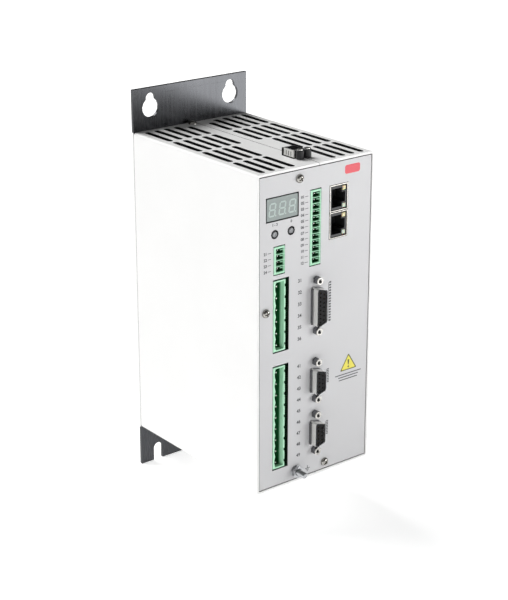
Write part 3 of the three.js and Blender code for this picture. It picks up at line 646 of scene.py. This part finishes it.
# %% [markdown]
# ## Pins in the terminal headers
# Each way of a header has a square tinned pin with a chamfered tip, standing up from the pocket's floor.
# A square pin is a ring with four corners. One object holds all the pins of one header.

# %% Square pins
CORNERS = np.pi / 4 + np.linspace(0, 2 * np.pi, 5)


def pin(x, z, size, tip, root):
    """Square pin: half-diagonal size / sqrt 2, narrowed to half at the tip over 0.6 of its width."""
    half = size / math.sqrt(2)
    rows = [(0, root), (half, root), (half, tip + 0.6 * size), (half / 2, tip), (0, tip)]
    return rings(rows, (x, z), CORNERS)


# for each header: its ways, their pitch, how far the pins are aside and how thick, and how deep they sit
PINS = {"logic_header": (4, 3.81, 0.4, 0.8, 2.2), "signal_header": (12, 3.81, 0.4, 0.8, 2.2),
        "supply_header": (6, 7.62, -1.6, 1.1, 0.9), "motor_header": (9, 7.62, -1.6, 1.1, 0.9)}
way_heights = {}
for name, (ways, pitch, aside, size, sunk) in PINS.items():
    low, high = box_mm(name)
    x, _, z = (low + high) / 2
    way_heights[name] = z + ((ways - 1) / 2 - np.arange(ways)) * pitch
    grids = [pin(x + aside, at, size, low[1] + sunk, high[1] - 0.5) for at in way_heights[name]]
    make_piece(name + "_pins", grids, tin, sharp=20)
    print(name, "pins:", ways)

# %% [markdown]
# ## Coding ribs in the small headers
# The small headers have a rib on the right wall of each pocket, which a groove in the plug slides over.
# A rib is a short bar with a rounded nose: the same ring rule, with flattened rings.

# %% Coding ribs


def rib(x0, x1, z, thick, front, back):
    """Bar with its section in X and Z, a rounded left end, carried along Y with a small front chamfer."""
    nose = np.linspace(np.pi / 2, 3 * np.pi / 2, 9)
    half = thick / 2
    xs = np.concatenate([[x1], x0 + half + half * np.cos(nose), [x1, x1]])
    zs = np.concatenate([[half], half * np.sin(nose), [-half, half]])
    scales = [(0.0, front), (0.6, front), (1.0, front + 0.15), (1.0, back), (0.0, back)]
    middle = (x0 + x1) / 2
    return np.stack([np.stack([middle + (xs - middle) * k, np.full_like(xs, y), z + zs * k], axis=-1)
                     for k, y in scales])


for name in ("logic_header", "signal_header"):
    low, high = box_mm(name)
    x = (low[0] + high[0]) / 2
    grids = [rib(x + 1.0, x + 3.35, at + 0.45, 0.5, low[1] + 0.5, high[1] - 1) for at in way_heights[name]]
    make_piece(name + "_ribs", grids, terminal_green)
print("coding ribs on two headers")

# %% [markdown]
# ## The small plug on top
# Its pale side plate ends in a dark cap and stands on a dark foot. Ribs stiffen the plate and the body's
# top, and a bright clamp ring sits on each wire entry, with a bright bar behind both.

# %% Cap, foot, ribs and clamps


def slab(low, high):
    """Closed box between two corners: a square ring, stretched to fit."""
    unit = rings([(0, 0), (math.sqrt(2), 0), (math.sqrt(2), 1), (0, 1)], (0, 0), CORNERS)
    return np.asarray(low) + (unit * (0.5, 1, 0.5) + (0.5, 0, 0.5)) * np.subtract(high, low)


def upright(grid):
    """The same piece with its axis along Z in place of Y."""
    return np.stack([grid[..., 0], grid[..., 2], grid[..., 1]], axis=-1)


low, high = box_mm("aux_plug_plate")
cap = slab((low[0] - 0.2, high[1] - 1.6, low[2]), (low[0] + 0.7, high[1] + 0.1, high[2]))
foot = slab((low[0] - 0.25, low[1], low[2] - 0.25), (low[0] + 0.3, high[1], low[2] + 0.35))
plate_ribs = [slab((low[0] - 0.1, y, low[2] + 0.9), (low[0] + 0.1, y + 0.4, high[2] - 0.9))
              for y in low[1] + np.array([2.4, 4.6, 6.8])]
body_low, body_high = box_mm("aux_plug_body")
top_ribs = [slab((-3.2, y, body_high[2] - 0.1), (3.2, y + 0.7, body_high[2] + 0.5))
            for y in body_low[1] + np.array([1.6, 4.4, 7.2])]
make_piece("aux_plug_trim", [cap, foot, *plate_ribs, *top_ribs], insert_black)
clamps = [slab((-3.9, body_low[1] - 0.1, body_high[2] - 0.5), (3.9, body_low[1] + 0.8, body_high[2] + 0.35))]
for name in ("aux_plug_entry_left", "aux_plug_entry_right"):
    low, high = box_mm(name)
    x, y, _ = (low + high) / 2
    rows = [(0.9, high[2] - 0.05), (1.9, high[2] - 0.05), (1.9, high[2] + 0.4), (0.9, high[2] + 0.4),
            (0.9, high[2] - 0.05)]
    clamps.append(upright(rings(rows, (x, y))))
make_piece("aux_plug_clamps", clamps, tin)
print("small plug: trim pieces", 2 + len(plate_ribs) + len(top_ribs), "and clamps", len(clamps))

# %% [markdown]
# ## Flat pieces with holes
# The face of a socket insert, a printed triangle or a digit is flat, with an outline that may have holes
# in it. Blender's two-dimensional curve fills such outlines and gives them a thickness. It is drawn in
# millimetres, turned upright and made a mesh before it takes its place.

# %% Flat curves and text made mesh


def flat_mesh(curve, front, thick):
    """Mesh of a flat curve or text drawn in X and Z, between y = front and front + thick."""
    curve.extrude = thick / 2
    holder = bpy.data.objects.new("drawing", curve)
    bpy.context.scene.collection.objects.link(holder)
    bpy.context.view_layer.update()
    shape = bpy.data.meshes.new_from_object(holder.evaluated_get(bpy.context.evaluated_depsgraph_get()))
    bpy.data.objects.remove(holder)
    bpy.data.curves.remove(curve)
    place = Matrix.Translation((0, front + thick / 2, 0)) @ Matrix.Rotation(math.pi / 2, 4, "X")
    shape.transform(Matrix.Scale(MM, 4) @ place)
    return shape


def outline_curve(loops):
    """A filled flat curve from loops of (x, z) points. A loop inside another one is a hole."""
    curve = bpy.data.curves.new("outline", "CURVE")
    curve.dimensions = "2D"
    curve.fill_mode = "BOTH"
    for loop in loops:
        loop = np.asarray(loop, float)
        spline = curve.splines.new("POLY")
        spline.points.add(len(loop) - 1)
        spline.points.foreach_set("co", np.c_[loop, np.zeros(len(loop)), np.ones(len(loop))].ravel())
        spline.use_cyclic_u = True
    return curve


def text_curve(words, size, x, z, align="CENTER"):
    """Upright text in the built-in face, size millimetres high, with its middle line at z."""
    curve = bpy.data.curves.new("text", "FONT")
    curve.body = words
    curve.size = size
    curve.align_x = align
    curve.align_y = "CENTER"
    curve.offset_x, curve.offset_y = x, z
    curve.resolution_u = 3
    curve.offset = 0.09
    return curve


def gather(name, shapes, look, body="drive", sharp=30):
    """One piece from several meshes already in place."""
    work = bmesh.new()
    for shape in shapes:
        work.from_mesh(shape)
        bpy.data.meshes.remove(shape)
    mesh = bpy.data.meshes.new(name)
    work.to_mesh(mesh)
    work.free()
    return settle(mesh, look, body, sharp, name)


def round_loop(x, z, radius, count=24):
    """Points of a circle."""
    t = np.arange(count) * 2 * np.pi / count
    return np.c_[x + radius * np.cos(t), z + radius * np.sin(t)]


def rounded(corners, radius, steps=5):
    """Corners of a convex outline, each replaced by an arc that touches both of its sides."""
    corners = np.asarray(corners, float)
    before, after = np.roll(corners, 1, axis=0), np.roll(corners, -1, axis=0)
    loop = []
    for last, corner, following in zip(before, corners, after):
        a = (last - corner) / np.linalg.norm(last - corner)
        b = (following - corner) / np.linalg.norm(following - corner)
        half = math.acos(float(np.clip(a @ b, -1, 1))) / 2
        middle = corner + (a + b) / np.linalg.norm(a + b) * radius / math.sin(half)
        start, end = corner + a * radius / math.tan(half), corner + b * radius / math.tan(half)
        for t in np.linspace(0, 1, steps):
            spoke = (start - middle) * (1 - t) + (end - middle) * t
            loop.append(middle + spoke / np.linalg.norm(spoke) * radius)
    return np.array(loop)


print("a rounded square has", len(rounded([(0, 0), (1, 0), (1, 1), (0, 1)], 0.2)), "points")

# %% [markdown]
# ## The display
# The window holds a three-digit display with its segments unlit, so they show only as paler bars in a
# grey lens. The gap all round is dark from a painted shade: the lens's sides and the module behind it turn
# near black between 0.4 and 0.8 mm behind the panel's face. A segment is a bar with pointed ends: its half
# width shrinks to nothing over the last half width at each end. The digits lean eight degrees to the right,
# as is usual.

# %% Seven-segment digits
LEAN = math.tan(math.radians(8))
SEGMENT_HALF, SEGMENT_GAP = 0.48, 0.12


def segment(x0, z0, x1, z1, half, front, thick):
    """Closed flat bar from one end to the other, pointed at both ends."""
    start, end = np.array([x0, z0]), np.array([x1, z1])
    length = np.linalg.norm(end - start)
    forward = (end - start) / length
    aside = np.array([-forward[1], forward[0]])
    steps = np.array([0, half, length - half, length])
    width = np.array([0, half, half, 0])
    upper = start + steps[:, None] * forward + width[:, None] * aside
    lower = start + steps[:, None] * forward - width[:, None] * aside
    layers = [(upper, front + thick), (upper, front), (lower, front), (lower, front + thick),
              (upper, front + thick)]
    return np.stack([np.c_[edge[:, 0], np.full(4, y), edge[:, 1]] for edge, y in layers])


SEGMENT_ENDS = [((-1, 1), (1, 1)), ((1, 1), (1, 0)), ((1, 0), (1, -1)), ((-1, -1), (1, -1)),
                ((-1, 0), (-1, -1)), ((-1, 1), (-1, 0)), ((-1, 0), (1, 0))]


def digit(x, z, wide, tall, face):
    """The seven segments and the point of one digit, leaning about its middle, raised from y = face."""
    grids = []
    for ends in SEGMENT_ENDS:
        (x0, z0), (x1, z1) = [(a * wide / 2, b * tall / 2) for a, b in ends]
        clear = SEGMENT_GAP / math.hypot(x1 - x0, z1 - z0)
        x0, x1 = x0 + (x1 - x0) * clear, x1 - (x1 - x0) * clear
        z0, z1 = z0 + (z1 - z0) * clear, z1 - (z1 - z0) * clear
        grids.append(segment(x0, z0, x1, z1, SEGMENT_HALF, face - 0.04, 0.03))
    dot = rings([(0, face - 0.01), (0.5, face - 0.01), (0.5, face - 0.04), (0, face - 0.04)],
                (wide / 2 + 0.9, -tall / 2))
    shifted = []
    for grid in [*grids, dot]:
        leaning = grid.copy()
        leaning[..., 0] += x + grid[..., 2] * LEAN
        leaning[..., 2] += z
        shifted.append(leaning)
    return shifted


low, high = box_mm("display_module")
LIP, CLEAR, LENS = 0.6, 0.8, 1.2
x0, z0 = low[0] + LIP + CLEAR, low[2] + LIP + CLEAR
x1, z1 = high[0] - LIP - CLEAR, high[2] - LIP - CLEAR
lens_front = panel_front + 0.12
lens = flat_mesh(outline_curve([rounded([(x0, z0), (x1, z0), (x1, z1), (x0, z1)], 0.3)]), lens_front, LENS)
gather("display_lens", [lens], display_face)
display_x, display_z = (x0 + x1) / 2, (z0 + z1) / 2
DIGIT_PITCH, DIGIT_WIDE, DIGIT_TALL = 7.6, 4.2, 7.6
grids = [grid for place in (-1, 0, 1)
         for grid in digit(display_x + place * DIGIT_PITCH, display_z - 0.2, DIGIT_WIDE, DIGIT_TALL,
                           lens_front)]
make_piece("display_segments", grids, segment_pale)
print("display digits: 3, segments and points:", len(grids))

# %% [markdown]
# ## D-sub sockets
# The insert of a D-sub socket is a black moulding with one hole for each pin of the plug, in two
# staggered rows: eight and seven holes in the large one, five and four in the small ones. The face is a
# flat outline with those holes, a block closes it behind, and a gold-flashed spring socket sits in each.

# %% Holed faces and spring sockets
HOLE_PITCH, ROW_APART = 2.77, 2.84
HOLE, FACE_THICK, SOCKET_IN, SOCKET_OUT, SOCKET_LONG = 0.56, 1.6, 0.32, 0.54, 0.7
SIDE_SLOPE = math.tan(math.radians(10))
HOLES = {"feedback_dsub_insert": 8, "upper_dsub_insert": 5, "lower_dsub_insert": 5}


def hole_places(middle_x, middle_z, ways):
    """Two rows a row's distance apart, the short one shifted by half a pitch."""
    long_row = (np.arange(ways) - (ways - 1) / 2) * HOLE_PITCH
    short_row = (np.arange(ways - 1) - (ways - 2) / 2) * HOLE_PITCH
    left = np.c_[np.full(ways, middle_x - ROW_APART / 2), middle_z + long_row]
    right = np.c_[np.full(ways - 1, middle_x + ROW_APART / 2), middle_z + short_row]
    return np.concatenate([left, right])


for name, ways in HOLES.items():
    low, high = box_mm(name)
    middle = (low + high) / 2
    lean = (high[0] - low[0]) * SIDE_SLOPE
    corners = [(low[0], low[2]), (high[0], low[2] + lean), (high[0], high[2] - lean), (low[0], high[2])]
    outline = rounded(corners, 1.5)
    places = hole_places(middle[0], middle[2], ways)
    loops = [outline, *(round_loop(x, z, HOLE, 20) for x, z in places)]
    face = flat_mesh(outline_curve(loops), low[1], FACE_THICK)
    block = flat_mesh(outline_curve([outline]), low[1] + FACE_THICK, high[1] - low[1] - FACE_THICK)
    made = gather(name + "_moulding", [face, block], insert_black)
    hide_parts(name)
    mouth = low[1] + 0.8
    rows = [(SOCKET_IN, mouth), (SOCKET_OUT, mouth), (SOCKET_OUT, mouth + SOCKET_LONG),
            (SOCKET_IN, mouth + SOCKET_LONG), (SOCKET_IN, mouth)]
    sockets = [rings(rows, place, np.linspace(0, 2 * np.pi, 17)) for place in places]
    make_piece(name + "_sockets", sockets, gold)
    print(name, "holes:", len(places))

# %% Shoulders at the foot of the shells
SHOULDER, STEP, SHELL_WIDE = 2.2, 0.35, 7.9
SHELL_LONG = {"feedback_dsub_shell": 24.7, "upper_dsub_shell": 16.3, "lower_dsub_shell": 16.3}
for name, shell_long in SHELL_LONG.items():
    low, high = box_mm(name.replace("shell", "insert"))
    wide, long = SHELL_WIDE / 2 + STEP, shell_long / 2 + STEP
    lean = 2 * wide * SIDE_SLOPE
    x, z = (low[0] + high[0]) / 2, (low[2] + high[2]) / 2
    corners = [(x - wide, z - long), (x + wide, z - long + lean), (x + wide, z + long - lean),
               (x - wide, z + long)]
    outline, bore = rounded(corners, 2.0), rounded((np.array(corners) - (x, z)) * 0.93 + (x, z), 1.7)
    ring = flat_mesh(outline_curve([outline, bore]), panel_front - SHOULDER, SHOULDER - 0.05)
    gather(name + "_shoulder", [ring], shoulder_steel)
print("shoulders: 3, each", SHOULDER, "mm tall")

# %% [markdown]
# ## Network jacks
# Inside each jack eight gold-flashed wires lean out from the side wall, where the plug presses on them.
# A wire is a round section carried along a path that is bent once: down the wall, then away from it.

# %% Contact wires


def swept(path, z, radius, sides=8):
    """Round wire of that radius along a path in X and Y at height z. Each ring stands across the path:
    point + radius (cos t normal + sin t Z), where the normal is the path's direction turned a quarter."""
    path = np.asarray(path, float)
    forward = np.gradient(path, axis=0)
    forward /= np.linalg.norm(forward, axis=1)[:, None]
    normal = np.c_[-forward[:, 1], forward[:, 0]]
    t = np.linspace(0, 2 * np.pi, sides + 1)
    reach = np.r_[0, np.full(len(path), radius), 0]
    path, normal = path[[0, *range(len(path)), -1]], normal[[0, *range(len(normal)), -1]]
    flat = path[:, None, :] + reach[:, None, None] * np.cos(t)[None, :, None] * normal[:, None, :]
    up = z + reach[:, None] * np.sin(t)[None, :]
    return np.stack([flat[..., 0], flat[..., 1], up], axis=-1)


CONTACT_PITCH, WALL_ASIDE, WIRE = 1.02, 5.6, 0.22
for name in ("upper_jack", "lower_jack"):
    low, high = box_mm(name + "_insert")
    middle = (low + high) / 2
    wall = middle[0] - WALL_ASIDE
    s = np.linspace(0, 1, 14)
    bend = np.clip((s - 0.25) / 0.3, 0, 1)
    path = np.c_[wall + 0.3 + 2.3 * bend ** 2 * s, low[1] + 1.2 + 7.6 * s]
    heights = middle[2] + (np.arange(8) - 3.5) * CONTACT_PITCH
    wires = [swept(path, z, WIRE) for z in heights]
    make_piece(name + "_contacts", wires, gold)
print("contact wires per jack:", len(heights))

# %% [markdown]
# ## Print on the front panel
# The panel is screen printed, so every mark is a thin layer of ink on the paint. The marks here are
# generic: way numbers beside the terminals, lines that count the socket pins, the sign for earth, a
# plain red field, and a yellow triangle with a bar and a dot. There are no words on it.

# %% Inks


def ink(name, colour, shade):
    """Screen ink: a dull layer with a mesh-fine mottle of 0.25 mm, a little uneven in depth."""
    material, tree, shader, place = begin(name, IOR=1.45, Roughness=0.55)
    mottle = add(tree, "ShaderNodeTexNoise", {"Vector": place, "Scale": 1000 / 0.25, "Detail": 2.0})
    mix = add(tree, "ShaderNodeMix", {0: mottle.outputs["Fac"], 6: linear(colour), 7: linear(shade)},
              data_type="RGBA")
    bump = add(tree, "ShaderNodeBump", {"Height": mottle.outputs["Fac"], "Strength": 0.2,
               "Distance": 0.01 * MM})
    tree.links.new(mix.outputs[2], shader.inputs["Base Color"])
    tree.links.new(bump.outputs["Normal"], shader.inputs["Normal"])
    return material


ink_grey = ink("screen_ink_grey", "#404145", "#4c4d51")
ink_red = ink("screen_ink_red", "#e8636b", "#e1565f")
ink_yellow = ink("screen_ink_yellow", "#efe463", "#e6da52")
ink_olive = ink("screen_ink_olive", "#55562f", "#646538")
INK = 0.03


def printed(loops, layer=1):
    """A printed shape, layer times the ink's thickness above the paint."""
    return flat_mesh(outline_curve(loops), panel_front - INK * layer, INK * 0.9)


def numeral(words, size, x, z, align="CENTER"):
    """Printed digits, size millimetres high."""
    return flat_mesh(text_curve(words, size, x, z, align), panel_front - INK, INK * 0.9)


def bar(x0, x1, z0, z1):
    """Corners of an upright rectangle."""
    return [(x0, z0), (x1, z0), (x1, z1), (x0, z1)]


# %% Way numbers beside the terminals
marks = []
for name, first, right, tick in (("logic_header", 21, -38.2, -35.2), ("signal_header", 1, -9.6, -6.4)):
    for index, z in enumerate(way_heights[name]):
        marks.append(numeral(f"{first + index:02d}", 2.5, right, z, "RIGHT"))
        marks.append(printed([bar(right + 0.6, tick, z - 0.16, z + 0.16)]))
for name, first in (("supply_header", 31), ("motor_header", 41)):
    for index, z in enumerate(way_heights[name]):
        marks.append(numeral(str(first + index), 3.1, -12.4, z))
BUTTON_MARK_Z = 70.8
for name, words in {"mode_button": "1 - 3", "set_button": "0"}.items():
    low, high = box_mm(name)
    marks.append(numeral(words, 2.3, (low[0] + high[0]) / 2, BUTTON_MARK_Z))
gather("panel_numbers", marks, ink_grey)
print("numbered ways:", sum(len(h) for h in way_heights.values()))

# %% Lines that count the socket pins, and the earth sign
marks = []
# for each socket: where its lines stand, how many there are, their reach up and down, and half a height
COUNTED = {"feedback_dsub_shell": (11.6, 15, 12.6, 0.55), "upper_dsub_shell": (10.9, 9, 4.4, 0.34),
           "lower_dsub_shell": (10.9, 9, 4.4, 0.34)}
for name, (aside, ways, half, tall) in COUNTED.items():
    low, high = box_mm(name)
    middle = (low[2] + high[2]) / 2
    marks.append(printed([bar(aside - 1.0, aside - 0.65, middle - half, middle + half)]))
    for z in np.linspace(middle - half, middle + half, ways):
        marks.append(printed([bar(aside - 0.3, aside + 1.3, z - tall, z + tall)]))
earth_x, earth_z = stud_at[0] + 9.6, stud_at[1] - 1.0
marks.append(printed([bar(earth_x - 0.22, earth_x + 0.22, earth_z, earth_z + 2.0)]))
for drop, half in ((0.0, 1.9), (0.95, 1.2), (1.9, 0.5)):
    marks.append(printed([bar(earth_x - half, earth_x + half, earth_z - drop - 0.22, earth_z - drop + 0.22)]))
gather("panel_lines", marks, ink_grey)
print("lines and earth sign:", len(marks), "marks")

# %% Triangle, bars and red field
tri_x, tri_top, tri_low, tri_half = 28.6, -26.8, -38.0, 7.0
triangle = np.array([(tri_x - tri_half, tri_low), (tri_x + tri_half, tri_low), (tri_x, tri_top)])
centre = triangle.mean(axis=0)
inner = centre + (triangle - centre) * 0.84
gather("caution_triangle", [printed([rounded(triangle, 0.5)])], ink_yellow)
border = printed([rounded(triangle, 0.5), rounded(inner, 0.4)], 2)
stroke = [(tri_x - 0.75, -31.0), (tri_x - 0.35, -34.6), (tri_x + 0.35, -34.6), (tri_x + 0.75, -31.0)]
signs = [border, printed([stroke], 2), printed([round_loop(tri_x, -35.9, 0.65)], 2)]
gather("caution_border", signs, ink_olive)
rows_of_bars = [(-40.4, 17.6, 39.4), (-42.2, 20.3, 37.0), (-44.0, 20.8, 36.2)]
gather("caution_lines", [printed([bar(x0, x1, z - 0.3, z + 0.3)]) for z, x0, x1 in rows_of_bars],
               ink_grey)
field = rounded([(22.6, 92.4), (34.8, 92.4), (34.8, 98.0), (22.6, 98.0)], 1.4)
gather("red_field", [printed([field])], ink_red)
print("triangle, bars and red field printed")

# %% [markdown]
# ## Camera, light and floor
# A long lens from the upper left, as a catalogue shows such a drive, keeps its edges almost parallel.
# The floor is a pale sheet just under the plate's lower edge, and it can't be seen from below. The light is
# soft. A wide sun stands behind and above, a faint panel at the left, and a small panel close by at the
# front right, which lights the lower part of the front. The world lights the drive only a little, and it
# is white where the camera looks past the floor.

# %% Camera
camera_data = bpy.data.cameras.new("camera")
camera_data.lens = 94.4
camera_data.shift_y = -0.05
camera_data.dof.use_dof = False
camera = bpy.data.objects.new("camera", camera_data)
bpy.context.scene.collection.objects.link(camera)
camera.location = (-0.5929, -0.8196, 0.3551)
yaw, pitch = math.radians(38.29), math.radians(19.37)
forward = Vector((math.sin(yaw) * math.cos(pitch), math.cos(yaw) * math.cos(pitch), -math.sin(pitch)))
camera.rotation_euler = forward.to_track_quat("-Z", "Y").to_euler()
bpy.context.scene.camera = camera
print("camera", [round(v, 3) for v in camera.location])

# %% Floor
FLOOR_DROP, FLOOR_REACH = 0.0005, 40.0  # metres
bpy.context.scene.view_settings.view_transform = "Standard"
floor_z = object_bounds()[0].z - FLOOR_DROP
floor_mesh = bpy.data.meshes.new("floor")
corners = [(x * FLOOR_REACH, y * FLOOR_REACH, floor_z) for x, y in ((-1, -1), (1, -1), (1, 1), (-1, 1))]
floor_mesh.from_pydata(corners, [], [(0, 1, 2, 3)])
floor = bpy.data.objects.new("floor", floor_mesh)
bpy.context.scene.collection.objects.link(floor)
floor_paint, floor_tree, floor_shader, _ = begin("floor_paper", Roughness=0.35, IOR=1.45)
floor_shader.inputs["Base Color"].default_value = linear("#f2f2f2")
floor_shader.inputs["Emission Color"].default_value = (1, 1, 1, 1)
floor_shader.inputs["Emission Strength"].default_value = 0.66
from_below = add(floor_tree, "ShaderNodeNewGeometry").outputs["Backfacing"]
clear = add(floor_tree, "ShaderNodeBsdfTransparent").outputs["BSDF"]
one_sided = add(floor_tree, "ShaderNodeMixShader", {0: from_below, 1: floor_shader.outputs["BSDF"], 2: clear})
output = next(node for node in floor_tree.nodes if node.type == "OUTPUT_MATERIAL")
floor_tree.links.new(one_sided.outputs["Shader"], output.inputs["Surface"])
floor_mesh.materials.append(floor_paint)

# %% World
world = bpy.data.worlds.new("studio")
world.use_nodes = True
bpy.context.scene.world = world
sky = world.node_tree
sky.nodes.clear()
heading = add(sky, "ShaderNodeTexCoord").outputs["Generated"]
sideways = add(sky, "ShaderNodeSeparateXYZ", {0: heading}).outputs["X"]
side = add(sky, "ShaderNodeMapRange", {"Value": sideways, "From Min": -0.9, "From Max": 0.9,
           "To Min": 0.21, "To Max": 0.1})
background = add(sky, "ShaderNodeBackground", {"Color": (1, 1, 1, 1), "Strength": side.outputs["Result"]})
paper = add(sky, "ShaderNodeBackground", {"Color": (1, 1, 1, 1), "Strength": 1.0})
straight = add(sky, "ShaderNodeLightPath").outputs["Is Camera Ray"]
shown = add(sky, "ShaderNodeMixShader", {0: straight, 1: background.outputs["Background"],
            2: paper.outputs["Background"]})
add(sky, "ShaderNodeOutputWorld", {"Surface": shown.outputs["Shader"]})

# %% Lights


def lamp(name, kind, place, target, power, **settings):
    """One light at place, aimed at target."""
    data = bpy.data.lights.new(name, kind)
    data.energy = power
    for key, value in settings.items():
        setattr(data, key, value)
    light = bpy.data.objects.new(name, data)
    bpy.context.scene.collection.objects.link(light)
    light.location = place
    aim = Vector(target) - Vector(place)
    light.rotation_euler = aim.to_track_quat("-Z", "Y").to_euler()
    return light


lamp("sun_behind", "SUN", (-0.4, 1.0, 1.2), (0, 0, 0), 3.1, angle=math.radians(45))
lamp("panel_left", "AREA", (-1.5, 0.1, 0.35), (0, -0.05, 0), 0.5, shape="RECTANGLE", size=1.4, size_y=1.2)
lamp("panel_front", "AREA", (0.5, -0.66, -0.08), (0.02, -0.13, -0.03), 3.5, shape="RECTANGLE", size=0.45,
     size_y=0.6)
